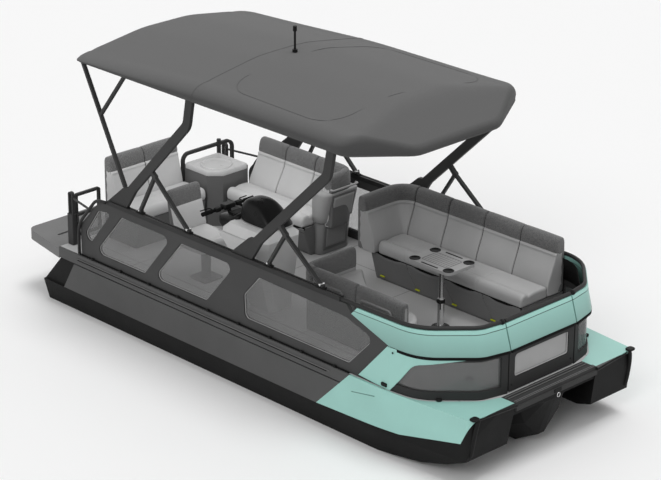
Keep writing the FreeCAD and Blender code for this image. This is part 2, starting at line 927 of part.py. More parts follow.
def make_side_shell():
    shell = new_body("side_shell_lower_starboard")
    inner_y = -(size.half_beam - size.shell_thickness)
    lower = [
        (size.shell_rear_low_x, size.seam_z),
        (size.cap_rear_low_x, size.seam_z),
        (slant_x(size.shell_top_z), size.shell_top_z),
        (size.shell_rear_top_x, size.shell_top_z),
    ]
    pad(shell, "XZ_Plane", -size.half_beam, inner_y, lower)
    band = new_body("side_band_starboard")
    upper = [
        (size.deck_rear_x, size.band_low_z),
        (slant_x(size.band_low_z), size.band_low_z),
        (slant_x(size.deck_top_z), size.deck_top_z),
        (size.deck_rear_x, size.deck_top_z),
    ]
    pad(band, "XZ_Plane", -(size.half_beam - size.band_step), inner_y, upper)
    return grouped("side_shell_starboard", [shell, band])


side_shell_starboard = make_side_shell()
keep(side_shell_starboard, mirrored(side_shell_starboard, "side_shell_port"))


def make_bow_cap():
    body = new_body("bow_cap_starboard")
    inner_edge = list(reversed(deck_line()[2:]))
    side_y = -(size.half_beam - size.shell_thickness)
    rear_x = size.cap_rear_low_x
    outline = [(rear_x, -size.half_beam)] + bow_plan(as_length(0)) + inner_edge
    outline += [(size.wall_front_x, side_y), (rear_x, side_y)]
    pad(body, "XY_Plane", size.seam_z, size.deck_top_z, outline)
    hollow = [(rear_x - size.overrun, side_y)] + bow_plan(size.shell_thickness)
    hollow += [(size.bow_lip_x - size.shell_thickness, size.overrun)]
    hollow += [(rear_x - size.overrun, size.overrun)]
    pocket(body, "XY_Plane", size.seam_z - size.overrun, size.hull_top_z, hollow)
    front_x = size.bow_lip_x + size.overrun
    under = [
        (rear_x, size.seam_z - size.overrun),
        (front_x, size.seam_z - size.overrun),
        (front_x, size.hull_top_z),
        (size.cap_nose_x, size.hull_top_z),
        (size.cap_seam_tip_x, size.cap_seam_tip_z),
        (size.cap_seam_mid_x, size.cap_seam_mid_z),
        (rear_x, size.seam_z),
    ]
    pocket(body, "XZ_Plane", -size.half_beam - size.overrun, size.overrun, under)
    behind = [
        (rear_x - size.overrun, size.seam_z),
        (rear_x, size.seam_z),
        (size.cap_rear_top_x, size.deck_top_z),
        (rear_x - size.overrun, size.deck_top_z),
    ]
    pocket(body, "XZ_Plane", -size.half_beam - size.overrun, size.overrun, behind)
    return body


bow_cap_starboard = make_bow_cap()
keep(bow_cap_starboard, mirrored(bow_cap_starboard, "bow_cap_port"))


# Deck, bow step and swim platform

def make_deck():
    body = new_body("deck")
    pad(body, "XY_Plane", size.hull_top_z, size.deck_top_z, both_sides(deck_line()))
    return body


def make_bow_step():
    body = new_body("bow_step")
    nose_x = size.step_front_x
    lift = size.step_rail_height
    profile = [
        (size.deck_front_x, size.hull_top_z),
        (size.deck_front_x, size.deck_top_z),
        (nose_x - lift * 3, size.deck_top_z),
        (nose_x - lift * 3, size.deck_top_z + lift / 3),
        (nose_x - lift, size.deck_top_z + lift / 3),
        (nose_x - lift, size.hull_top_z),
        (nose_x, size.hull_top_z),
        (nose_x, size.hull_top_z - lift * 2),
        (size.stem_head_x, size.hull_top_z - lift * 2),
        (size.stem_head_x, size.hull_top_z),
    ]
    pad(body, "XZ_Plane", -size.step_half, size.step_half, profile)
    return body


def make_swim_platform():
    body = new_body("swim_platform")
    side = [
        (size.platform_rear_x, -size.platform_rear_y, size.platform_corner_radius),
        (size.deck_rear_x, -size.platform_front_y),
    ]
    pad(body, "XY_Plane", size.roof_z, size.platform_top_z, both_sides(side))
    half = size.platform_seam_width / 2
    rear_x = size.platform_rear_x - size.overrun
    front_x = size.deck_rear_x + size.overrun
    seams = [rectangle(rear_x, front_x, place - half, place + half)
             for place in (size.platform_seam_y, -size.platform_seam_y)]
    pocket(body, "XY_Plane", size.platform_top_z - size.platform_seam_depth,
           size.platform_top_z + size.overrun, *seams)
    handle = rectangle(size.handle_x - size.handle_width / 2, size.handle_x + size.handle_width / 2,
                       size.handle_y - size.handle_length / 2,
                       size.handle_y + size.handle_length / 2, size.handle_radius)
    pocket(body, "XY_Plane", size.platform_top_z - size.handle_width,
           size.platform_top_z + size.overrun, handle)
    return body


keep(make_deck(), make_bow_step(), make_swim_platform())


# Jet drive

def make_engine():
    body = new_body("engine_block")
    block = rectangle(size.engine_rear_x, size.engine_rear_x + size.engine_length,
                      -size.engine_half_width, size.engine_half_width)
    pad(body, "XY_Plane", size.engine_low_z, size.engine_low_z + size.engine_height, block)
    return body


def make_jet_pump():
    body = new_body("jet_pump")
    centre = (0, size.jet_z)
    pad_rings(body, "YZ_Plane", size.pump_rear_x, size.transom_x,
              (centre, size.pump_radius), (centre, size.nozzle_front_radius))
    half = size.ear_width / 2
    for side in (1, -1):
        inner = size.pump_radius - size.ear_height
        low = size.jet_z + side * inner
        high = size.jet_z + side * size.pump_radius
        bottom, top = (low, high) if side > 0 else (high, low)
        ear = rectangle(size.pump_rear_x - size.ear_length, size.pump_rear_x + half, -half, half)
        pad(body, "XY_Plane", bottom, top, ear)
    hole = (nozzle_axis_x(), 0)
    pocket_rings(body, "XY_Plane", size.jet_z - size.pump_radius - size.overrun,
                 size.jet_z + size.pump_radius + size.overrun,
                 (hole, size.nozzle_pin_radius + size.hinge_play))
    pivot = (size.bucket_pivot_x, size.jet_z)
    boss_reach = size.bucket_half_width - size.hinge_play
    for side in (1, -1):
        near = side * (size.pump_radius - size.ear_height)
        far = side * boss_reach
        low, high = (near, far) if side > 0 else (far, near)
        pad_rings(body, "XZ_Plane", low, high, (pivot, size.bucket_boss_radius))
    return body


def nozzle_axis_x():
    """The upright axis that the steering nozzle turns on."""
    return size.pump_rear_x - size.ear_length / 2


def make_jet_nozzle():
    body = new_body("jet_nozzle")
    rear_x = nozzle_axis_x() - size.nozzle_length
    front_x = size.pump_rear_x - size.nozzle_pin_radius
    centre = (0, size.jet_z)
    wall = size.nozzle_rear_radius - size.nozzle_bore_radius
    pad_rings(body, "YZ_Plane", rear_x, front_x, (centre, size.nozzle_front_radius - wall))
    pad_rings(body, "XY_Plane", size.jet_z - size.pump_radius, size.jet_z + size.pump_radius,
              ((nozzle_axis_x(), 0), size.nozzle_pin_radius))
    pocket_rings(body, "YZ_Plane", rear_x - size.overrun, front_x + size.overrun,
                 (centre, size.nozzle_bore_radius))
    return body


# Points round the bucket's scoop: shares of its radius aft of the pivot and above it.
BUCKET_ARC_SHARES = ((0.906, 0.423), (0.707, 0.707), (0.342, 0.940))


def bucket_arc(radius):
    """The scoop's line in side view, at one radius about the pivot."""
    return [(size.bucket_pivot_x - radius * aft, size.jet_z + radius * up)
            for aft, up in BUCKET_ARC_SHARES]


def make_reverse_bucket():
    body = new_body("reverse_bucket")
    outer = size.bucket_radius
    inner = size.bucket_radius - size.bucket_thickness
    pivot_x = size.bucket_pivot_x
    half = size.bucket_half_width
    wall = size.bucket_thickness
    outside = bucket_arc(outer)
    pad(body, "XZ_Plane", -half, half, outside + list(reversed(bucket_arc(inner))))
    lug = size.bucket_lug
    cheek = [
        (pivot_x - lug, size.jet_z - lug),
        (pivot_x + lug, size.jet_z - lug),
        (pivot_x + lug, size.jet_z + lug),
    ] + list(reversed(outside))
    pad(body, "XZ_Plane", half, half + wall, cheek)
    pad(body, "XZ_Plane", -half - wall, -half, cheek)
    return body


keep(make_engine(), make_jet_pump(), make_jet_nozzle(), make_reverse_bucket())


# Side walls with their windows, and the rails on them

# Window corners: shares of the wall's length, of the window height and of the corner radius.
WINDOW_SHARES = (
    ((0.023, 0.04, 1), (0.018, 0.37, 1), (0.064, 0.93, 1), (0.114, 1.00, 0.5)),
    ((0.049, 0.00, 1), (0.148, 1.00, 1), (0.321, 1.00, 1), (0.224, 0.00, 1)),
    ((0.256, 0.00, 1), (0.353, 0.98, 1), (0.530, 0.98, 1), (0.434, 0.00, 1)),
    ((0.560, 0.00, 1), (0.557, 0.47, 1), (0.606, 0.95, 1), (0.872, 0.90, 1), (0.955, 0.68, 1),
     (0.881, 0.00, 1)),
)


def window_outlines():
    """The rounded outlines of the windows of one side wall."""
    length = size.wall_front_x - size.wall_rear_x
    height = size.window_top_z - size.window_low_z
    outlines = []
    for shares in WINDOW_SHARES:
        outlines.append([(size.wall_rear_x + length * along, size.window_low_z + height * up,
                          size.window_radius * rounding)
                         for along, up, rounding in shares])
    return outlines


def make_side_wall():
    body = new_body("side_wall_starboard")
    outline = [
        (size.wall_rear_x, size.deck_top_z),
        (size.wall_front_x, size.deck_top_z),
        (size.wall_front_x, size.frame_top_z),
        (size.wall_notch_end_x, size.wall_notch_end_z),
        (size.wall_notch_x, size.wall_notch_z),
        (size.wall_notch_x - size.wall_corner_radius / 2, size.wall_top_z),
        (size.wall_rear_top_x, size.wall_top_z, size.wall_corner_radius),
        (size.wall_rear_x, size.wall_knee_z, size.wall_corner_radius),
    ]
    pad(body, "XZ_Plane", -size.wall_y, -(size.wall_y - size.wall_thickness), outline)
    pocket(body, "XZ_Plane", -size.wall_y - size.overrun,
           -(size.wall_y - size.wall_thickness) + size.overrun, *window_outlines())
    return body


def prism(label, role, low, high, *outlines):
    """A body that is one prism."""
    body = new_body(label)
    pad(body, role, low, high, *outlines)
    return body


def make_side_windows():
    """The tinted panes of one side wall and the curved pane of the bow frame."""
    middle = -(size.wall_y - size.wall_thickness / 2)
    half = size.pane_thickness / 2
    return prism("side_panes", "XZ_Plane", middle - half, middle + half, *window_outlines())


side_wall_starboard = make_side_wall()
keep(side_wall_starboard, mirrored(side_wall_starboard, "side_wall_port"))


def make_top_rail():
    """The slotted rail on top of a side wall, and the tube that carries on round the bow."""
    channel = new_body("slotted_rail")
    middle_y = -(size.wall_y - size.wall_thickness / 2)
    half = size.rail_width / 2
    slot = size.rail_slot_width / 2
    top_z = size.wall_top_z + size.rail_height
    section = [
        (middle_y - half, size.wall_top_z),
        (middle_y + half, size.wall_top_z),
        (middle_y + half, top_z),
        (middle_y + slot, top_z),
        (middle_y + slot, top_z - size.rail_slot_depth),
        (middle_y - slot, top_z - size.rail_slot_depth),
        (middle_y - slot, top_z),
        (middle_y - half, top_z),
    ]
    pad(channel, "YZ_Plane", size.rail_rear_x, size.rail_front_x, section)
    tube = new_body("bow_tube")
    path = sketch_on(tube, "XY_Plane", size.tube_z)
    draw_outline(path, bow_tube_line(), closed=False)
    start = sketch_on(tube, "YZ_Plane", size.rail_front_x)
    draw_circle(start, (middle_y, size.tube_z), size.tube_radius)
    sweep = tube.newObject("PartDesign::AdditivePipe", "Pipe")
    sweep.Profile = start
    sweep.Spine = (path, [])
    return grouped("top_rail_starboard", [channel, tube])


def bow_tube_line():
    """The path of the bow tube, from the slotted rail to the gate."""
    middle_y = -(size.wall_y - size.wall_thickness / 2)
    return [
        (size.rail_front_x, middle_y),
        (size.frame_bend_x - size.tube_set_back, middle_y + size.tube_radius,
         size.frame_bend_radius),
        (size.frame_turn_x - size.tube_set_back, -(size.frame_turn_y - size.tube_radius),
         size.frame_turn_radius),
        (size.tube_front_x, -(size.gate_half + size.gate_gap)),
    ]


# Bow frame with its curved pane, fairing and gate

def make_bow_frame():
    body = new_body("bow_frame_shell")
    pad(body, "XY_Plane", size.deck_top_z, size.frame_top_z,
        strip(frame_line(), size.frame_thickness))
    opening = [
        (size.frame_window_x, -size.half_beam),
        (size.frame_front_x + size.overrun, -size.half_beam),
        (size.frame_front_x + size.overrun, -(size.gate_half + size.gate_gap + size.frame_post)),
        (size.frame_window_x, -(size.gate_half + size.gate_gap + size.frame_post)),
    ]
    pocket(body, "XY_Plane", size.deck_top_z + size.frame_sill,
           size.frame_top_z - size.frame_head, opening)
    pocket(body, "XY_Plane", size.deck_top_z, size.frame_top_z, gate_passage())
    wall_zone = rectangle(size.wall_front_x - size.overrun, size.wall_front_x,
                          -size.half_beam, -size.half_beam / 2)
    pocket(body, "XY_Plane", size.deck_top_z, size.frame_top_z, wall_zone)
    return body


def gate_passage():
    """The space between the fixed ends of the bow frame, which the gate closes."""
    return rectangle(size.frame_turn_x - size.frame_turn_radius, size.bow_lip_x,
                     -(size.gate_half + size.gate_gap), 0)


def make_bow_pane():
    body = new_body("bow_pane")
    middle = (size.frame_thickness - size.pane_thickness) / 2
    line = offset_line(frame_line(), middle)
    pad(body, "XY_Plane", size.deck_top_z + size.frame_sill, size.frame_top_z - size.frame_head,
        strip(line, size.pane_thickness))
    rear = rectangle(size.wall_front_x - size.overrun, size.frame_window_x,
                     -size.half_beam, -size.half_beam / 2)
    front = rectangle(size.frame_turn_x - size.frame_turn_radius,
                      size.frame_front_x + size.overrun,
                      -(size.gate_half + size.gate_gap + size.frame_post), 0)
    pocket(body, "XY_Plane", size.deck_top_z, size.frame_top_z, rear)
    pocket(body, "XY_Plane", size.deck_top_z, size.frame_top_z, front)
    return body


def gate_axis():
    """The upright axis of the bow gate's hinges, inboard of its frame."""
    return (size.hinge_x, -(size.gate_half + size.gate_gap / 2))


def fixed_hinges(label, axis, leaf_x, leaf_y, *places):
    """The fixed halves of two hinges: each a leaf, a lower barrel and the pin it carries."""
    body = new_body(label)
    drop = size.hinge_height / 2
    for low_z in places:
        pad(body, "XY_Plane", low_z - drop, low_z, leaf_outline(axis, leaf_x, leaf_y))
        pad_rings(body, "XY_Plane", low_z - drop, low_z, (axis, size.hinge_radius))
        pad_rings(body, "XY_Plane", low_z - drop, low_z + size.hinge_height,
                  (axis, size.hinge_radius / 2))
    return body


def moving_hinges(label, axis, leaf_x, leaf_y, *places):
    """The moving halves of two hinges: each a leaf with a barrel that turns on the pin."""
    body = new_body(label)
    for low_z in places:
        start_z = low_z + size.hinge_play
        end_z = low_z + size.hinge_height
        pad(body, "XY_Plane", start_z, end_z, leaf_outline(axis, leaf_x, leaf_y))
        pad_rings(body, "XY_Plane", start_z, end_z, (axis, size.hinge_radius))
        pocket_rings(body, "XY_Plane", start_z, end_z,
                     (axis, size.hinge_radius / 2 + size.hinge_play))
    return body


def leaf_outline(axis, leaf_x, leaf_y):
    """A hinge leaf in plan, between the hinge axis and its far corner."""
    near_x, far_x = sorted((axis[0], leaf_x), key=lambda place: place.value)
    near_y, far_y = sorted((axis[1], leaf_y), key=lambda place: place.value)
    return rectangle(near_x, far_x, near_y, far_y)


def fairing_low_line():
    """The lower outer edge of the fairing band in plan."""
    return [
        (size.wall_notch_x, -(size.wall_y + size.fairing_bulge)),
        (size.frame_bend_x + size.fairing_bulge / 2, -(size.frame_bend_y + size.fairing_bulge),
         size.frame_bend_radius),
        (size.frame_turn_x + size.fairing_bulge, -(size.frame_turn_y + size.fairing_bulge / 2),
         size.frame_turn_radius),
        (size.frame_front_x + size.fairing_bulge, -(size.gate_half + size.gate_gap)),
    ]


def fairing_top_line():
    """The upper outer edge of the fairing band in plan: it leans in under the tube."""
    half = size.tube_radius
    return [(size.wall_notch_x, bow_tube_line()[0][1] - half)] + [
        (corner[0] + half, corner[1] - half) + tuple(corner[2:]) for corner in bow_tube_line()[1:3]
    ] + [(size.tube_front_x + half, -(size.gate_half + size.gate_gap))]


# The bends of the cheek's lower edge: shares of its reach forward and of its rise.
CHEEK_SWEEP_SHARES = ((0.20, 0.33), (0.42, 0.82))


def make_bow_fairing():
    band = new_body("fairing_band")
    wall = size.fairing_thickness
    loft(band, "XY_Plane", (size.fairing_low_z, strip(fairing_low_line(), wall)),
         (size.fairing_top_z, strip(fairing_top_line(), wall)))
    joint = size.cap_joint
    rear_x = size.wall_notch_x - size.overrun
    under = [
        (rear_x, size.fairing_low_z - size.overrun),
        (size.wall_front_x, size.fairing_low_z - size.overrun),
        (size.wall_front_x, size.fairing_low_z),
        (size.wall_notch_end_x + joint, size.wall_notch_end_z + joint),
        (size.wall_notch_x + joint, size.wall_notch_z + joint),
        (size.wall_notch_x + size.frame_post, size.fairing_top_z),
        (size.wall_notch_x + size.frame_post, size.fairing_top_z + size.overrun),
        (rear_x, size.fairing_top_z + size.overrun),
    ]
    pocket(band, "XZ_Plane", -size.half_beam - size.overrun, -size.half_beam / 2, under)
    pocket(band, "XY_Plane", size.fairing_low_z, size.fairing_top_z, gate_passage())
    cheek_line = [(size.cheek_foot_x, -size.wall_y)] + frame_line()
    outside = offset_line(cheek_line, -size.cheek_thickness)
    skin = prism("cheek_skin", "XY_Plane", size.deck_top_z, size.fairing_low_z,
                 strip(outside, size.cheek_thickness))
    low_z = size.cheek_foot_z
    rise = size.cheek_tip_z - low_z
    reach = size.cheek_tip_x - size.cheek_toe_x
    sweep = [(size.cheek_toe_x + reach * ahead, low_z + rise * up, size.cheek_sweep)
             for ahead, up in CHEEK_SWEEP_SHARES]
    shape = [
        (size.cheek_foot_x, low_z),
        (size.cheek_toe_x, size.deck_top_z),
    ] + sweep + [
        (size.cheek_tip_x, size.cheek_tip_z),
        (size.cheek_tip_x, size.fairing_low_z),
        (size.wall_front_x - size.fairing_bulge, size.fairing_low_z),
    ]
    outline = prism("cheek_outline", "XZ_Plane", -size.half_beam, -size.half_beam / 2, shape)
    cheek = common("cheek_panel", [skin, outline])
    return grouped("bow_fairing_starboard", [band, cheek])


def make_gate():
    frame = new_body("gate_panel_frame")
    inner_x = size.frame_front_x - size.frame_thickness
    outline = rectangle(-size.gate_half, size.gate_half, size.gate_low_z, size.frame_top_z,
                        size.overrun)
    sill_z = size.gate_low_z + size.gate_sill
    window = rectangle(-size.gate_window_half, size.gate_window_half, sill_z,
                       size.frame_top_z - size.frame_post, size.frame_thickness)
    pad(frame, "YZ_Plane", inner_x, size.frame_front_x, outline, window)
    hinges = moving_hinges("gate_hinges", gate_axis(), inner_x + size.frame_thickness / 2,
                           -size.gate_half, size.hinge_low_z, size.hinge_top_z)
    panel = joined("gate_panel", [frame, hinges])
    tube = new_body("gate_tube")
    pad_rings(tube, "XZ_Plane", -size.gate_half, size.gate_half,
              ((size.tube_front_x, size.tube_z), size.tube_radius))
    gate_frame = grouped("gate_frame", [panel, tube])
    middle = (size.frame_thickness - size.pane_thickness) / 2
    pane = prism("gate_window", "YZ_Plane", inner_x + middle,
                 inner_x + middle + size.pane_thickness, window)
    low_x = size.frame_front_x + size.fairing_bulge
    top_x = size.tube_front_x + size.tube_radius
    wall = size.fairing_thickness
    section = [
        (low_x - wall, size.fairing_low_z),
        (low_x, size.fairing_low_z),
        (top_x, size.fairing_top_z),
        (top_x - wall, size.fairing_top_z),
    ]
    fairing = prism("gate_fairing", "XZ_Plane", -size.gate_half, size.gate_half, section)
    return gate_frame, pane, fairing


bow_frame_shell = make_bow_frame()
bow_hinges = fixed_hinges("bow_hinges", gate_axis(),
                          size.frame_front_x - size.frame_thickness / 2,
                          -(size.gate_half + size.gate_gap), size.hinge_low_z, size.hinge_top_z)
bow_frame_starboard = joined("bow_frame_starboard", [bow_frame_shell, bow_hinges])
top_rail_starboard = make_top_rail()
bow_fairing_starboard = make_bow_fairing()
windows_starboard = grouped("windows_starboard", [make_side_windows(), make_bow_pane()])
keep(bow_frame_starboard, mirrored(bow_frame_shell, "bow_frame_port"))
keep(windows_starboard, mirrored(windows_starboard, "windows_port"))
keep(top_rail_starboard, mirrored(top_rail_starboard, "top_rail_port"))
keep(bow_fairing_starboard, mirrored(bow_fairing_starboard, "bow_fairing_port"))
keep(*make_gate())


# Bow lounge, bow bench and table

# Where the lounge's end back stands at foot, waist and head: shares of its depth.
WRAP_SHARES = (0.9, 0.8, 0.7)


def make_lounge():
    seat_low = size.seat_z - size.seat_cushion
    wrap_front_x = size.lounge_rear_x + size.lounge_wrap_depth * 2
    base = prism("lounge_base", "YZ_Plane", wrap_front_x - size.lounge_wrap_depth,
                 size.lounge_front_x - size.seat_radius / 3, [
                     (size.lounge_foot_y, size.deck_top_z),
                     (size.lounge_edge_y + size.recess_depth, seat_low - size.recess_height),
                     (size.lounge_edge_y + size.recess_depth * 2, seat_low - size.recess_height),
                     (size.lounge_edge_y + size.recess_depth * 2, seat_low),
                     (size.back_outer_y, seat_low),
                     (size.back_outer_y, size.deck_top_z),
                 ])
    seat = prism("lounge_seat", "YZ_Plane", wrap_front_x, size.lounge_front_x, [
        (size.lounge_edge_y, seat_low, size.seat_radius / 2),
        (size.lounge_back_y - size.seat_gap, seat_low),
        (size.lounge_back_y - size.seat_gap, size.seat_z),
        (size.lounge_edge_y, size.seat_z, size.seat_radius),
    ])
    back = prism("lounge_long_back", "YZ_Plane", size.lounge_rear_x + size.seat_radius,
                 size.lounge_front_x, [
                     (size.lounge_back_y, seat_low),
                     (size.back_outer_y, seat_low),
                     (size.back_outer_y, size.back_top_z, size.seat_radius),
                     (size.back_outer_y - size.back_head_depth, size.back_top_z,
                      size.seat_radius),
                     (size.back_outer_y - size.back_waist_depth, size.wall_top_z),
                     (size.lounge_back_y, size.seat_z),
                 ])
    depth = size.lounge_wrap_depth
    foot_share, waist_share, head_share = WRAP_SHARES
    wrap = prism("lounge_end_back", "XZ_Plane", size.lounge_wrap_y, size.back_outer_y, [
        (size.lounge_rear_x + depth * foot_share, seat_low),
        (wrap_front_x - size.seat_gap, seat_low),
        (wrap_front_x - size.seat_gap, size.seat_z),
        (size.lounge_rear_x + depth * waist_share, size.wall_top_z),
        (size.lounge_rear_x + depth * head_share, size.back_top_z - size.seat_radius,
         size.seat_radius / 2),
        (size.lounge_rear_x, size.back_top_z - size.seat_radius, size.seat_radius / 2),
    ])
    return base, seat, joined("lounge_back", [back, wrap])


def bench_edge(inset):
    """The inboard edge of the bow bench in plan, from its aft back to its bow end."""
    return [
        (size.bench_rear_x + size.bench_back_depth + size.seat_gap,
         size.bench_head_y - inset),
        (size.bench_bend_x - inset / 2, size.bench_bend_y - inset, size.seat_radius),
        (size.bench_front_x - size.bench_back_depth - inset, size.bench_nose_y - inset,
         size.seat_radius),
        (size.bench_front_x - inset, size.bench_nose_y - size.bench_back_depth - inset,
         size.seat_radius),
    ]


def make_bench():
    seat_low = size.seat_z - size.seat_cushion
    inner_y = size.bench_outer_y + size.bench_back_depth + size.seat_gap
    inner_x = size.bench_rear_x + size.bench_back_depth + size.seat_gap
    inset = size.seat_radius
    base = prism("bench_base", "XY_Plane", size.deck_top_z, seat_low,
                 bench_edge(inset) + [(size.bench_front_x - inset, size.bench_outer_y),
                                      (inner_x, size.bench_outer_y)])
    seat = prism("bench_seat", "XY_Plane", seat_low, size.seat_z,
                 bench_edge(as_length(0)) + [(size.bench_front_x, inner_y),
                                               (inner_x, inner_y, size.seat_radius)])
    line = [
        (size.bench_rear_x, size.bench_head_y - size.bench_back_depth),
        (size.bench_rear_x, size.bench_outer_y, size.bench_back_radius),
        (size.bench_front_x, size.bench_outer_y),
    ]
    back = prism("bench_back", "XY_Plane", seat_low, size.bench_back_top_z,
                 strip(line, size.bench_back_depth))
    return base, seat, back


def make_table():
    top = new_body("table_top")
    low_z = size.table_z - size.table_thickness
    half_length = size.table_length / 2
    half_width = size.table_width / 2
    outline = rectangle(size.table_x - half_length, size.table_x + half_length,
                        size.table_y - half_width, size.table_y + half_width, size.table_corner)
    pad(top, "XY_Plane", low_z, size.table_z, outline)
    reach = size.cup_radius + size.cup_rim
    cups = [((size.table_x + ahead * (half_length - reach),
              size.table_y + across * (half_width - reach)), size.cup_radius)
            for ahead in (1, -1) for across in (1, -1)]
    pocket_rings(top, "XY_Plane", size.table_z - size.cup_depth, size.table_z + size.overrun,
                 *cups)
    post = new_body("table_post")
    centre = (size.table_x, size.table_y)
    foot_top = size.deck_top_z + size.post_foot_height
    pad_rings(post, "XY_Plane", size.deck_top_z, foot_top, (centre, size.post_foot_radius))
    pad_rings(post, "XY_Plane", size.deck_top_z, foot_top + size.post_sleeve_height,
              (centre, size.post_sleeve_radius))
    pad_rings(post, "XY_Plane", foot_top, low_z, (centre, size.post_radius))
    return top, post


keep(*make_lounge())
keep(*make_bench())
keep(*make_table())


# Helm

def console_ring(rear_x, front_x, half, bevel):
    """A level outline of the console, with its corners cut."""
    return [
        (rear_x + bevel, size.helm_y - half),
        (front_x - bevel, size.helm_y - half),
        (front_x, size.helm_y - half + bevel),
        (front_x, size.helm_y + half - bevel),
        (front_x - bevel, size.helm_y + half),
        (rear_x + bevel, size.helm_y + half),
        (rear_x, size.helm_y + half - bevel),
        (rear_x, size.helm_y - half + bevel),
    ]


def make_console():
    body = new_body("console_body")
    bevel = size.console_bevel
    foot = console_ring(size.console_foot_rear_x, size.console_foot_front_x,
                        size.console_foot_half, bevel / 2)
    shoulder = console_ring(size.console_rear_x + bevel, size.console_front_x - bevel / 4,
                            size.console_half, bevel)
    top = console_ring(size.console_rear_x, size.console_front_x, size.console_half, bevel)
    crown = console_ring(size.console_rear_x + bevel, size.console_front_x - bevel,
                         size.console_half - bevel, bevel / 2)
    loft(body, "XY_Plane", (size.deck_top_z, foot), (size.console_shoulder_z, shoulder))
    loft(body, "XY_Plane", (size.console_shoulder_z, shoulder), (size.console_top_z, top))
    loft(body, "XY_Plane", (size.console_top_z, top), (size.console_crown_z, crown))
    return body


def make_console_dash():
    visor = new_body("visor")
    bevel = size.console_bevel
    foot = console_ring(size.console_rear_x + bevel, size.console_front_x - bevel,
                        size.console_half - bevel, bevel / 2)
    head = console_ring(size.visor_rear_x, size.visor_front_x, size.visor_half, bevel / 2)
    loft(visor, "XY_Plane", (size.console_crown_z, foot), (size.visor_top_z, head))
    inner_x = size.console_rear_x + size.console_bevel
    pod = prism("steering_pod", "XZ_Plane", size.helm_y - size.pod_half,
                size.helm_y + size.pod_half, [
                    (inner_x, size.pod_low_z + size.console_bevel / 2),
                    (inner_x, size.pod_top_z - size.overrun),
                    (size.pod_rear_x + size.console_bevel, size.pod_top_z),
                    (size.pod_rear_x, size.pod_top_z - size.overrun),
                    (size.pod_rear_x + size.console_bevel / 2, size.pod_low_z),
                ])
    finish_turned(pod, "PartDesign::Groove", "XZ_Plane", -size.helm_y,
                           steering_line(size.steering_gap), size.column_radius + size.hinge_play)
    return grouped("console_dash", [visor, difference("fitted_pod", pod, console_body)])


def steering_line(below):
    """The steering axis from the handlebar down into the pod, in side view."""
    foot_z = size.pod_top_z - size.console_bevel
    share = (size.bar_z.value - foot_z.value + below.value) / (size.bar_z.value - foot_z.value)
    return [(size.bar_x, size.bar_z),
            (size.bar_x + size.steering_lean * share, foot_z - below)]


FULL_TURN = 360


def finish_turned(body, kind, role, offset, line, radius):
    """Turns a band beside a line about that line, as a round bar or a round bore."""
    sketch = sketch_on(body, role, offset)
    draw_outline(sketch, strip(line, radius))
    axis = sketch.addGeometry(Part.LineSegment(point(line[0]), point(line[1])), True)
    tie_point(sketch, axis, 1, line[0])
    tie_point(sketch, axis, 2, line[1])
    feature = body.newObject(kind, "Turning")
    feature.Profile = sketch
    feature.ReferenceAxis = (sketch, ["Axis0"])
    feature.Angle = FULL_TURN


def make_handlebar():
    body = new_body("handlebar")
    pad_rings(body, "XZ_Plane", size.helm_y - size.bar_half, size.helm_y + size.bar_half,
              ((size.bar_x, size.bar_z), size.bar_radius))
    finish_turned(body, "PartDesign::Revolution", "XZ_Plane", -size.helm_y,
                           steering_line(as_length(0)), size.column_radius)
    return body


def make_helm_seat():
    pedestal = new_body("helm_pedestal")
    half = size.helm_plate / 2
    plate_top = size.deck_top_z + size.helm_plate_height
    pad(pedestal, "XY_Plane", size.deck_top_z, plate_top,
        rectangle(size.helm_x - half, size.helm_x + half, size.helm_y - half,
                  size.helm_y + half, size.overrun))
    pad_rings(pedestal, "XY_Plane", plate_top, size.helm_seat_low_z - size.rest_gap,
              ((size.helm_x, size.helm_y), size.helm_post_radius))
    cushion = new_body("helm_cushion")
    half_width = size.helm_seat_width / 2
    front_x = size.helm_x + size.helm_seat_depth / 2
    rear_x = size.helm_x - size.helm_seat_depth / 2
    seat_top = size.seat_z + size.overrun
    pad(cushion, "XY_Plane", size.helm_seat_low_z, seat_top,
        rectangle(rear_x - size.helm_back_depth, front_x, size.helm_y - half_width,
                  size.helm_y + half_width, size.seat_radius * 2))
    rear_low_x = rear_x - size.helm_back_depth
    back = prism("helm_back", "XZ_Plane", size.helm_y - half_width + size.overrun,
                 size.helm_y + half_width - size.overrun, [
                     (rear_low_x, seat_top - size.overrun),
                     (rear_x, seat_top - size.overrun),
                     (rear_x - size.overrun * 3, size.helm_back_top_z, size.seat_radius),
                     (rear_low_x - size.overrun * 3, size.helm_back_top_z, size.seat_radius),
                 ])
    return pedestal, joined("helm_seat", [cushion, back])


console_body = make_console()
keep(console_body, make_console_dash(), make_handlebar(), *make_helm_seat())


# Aft seats

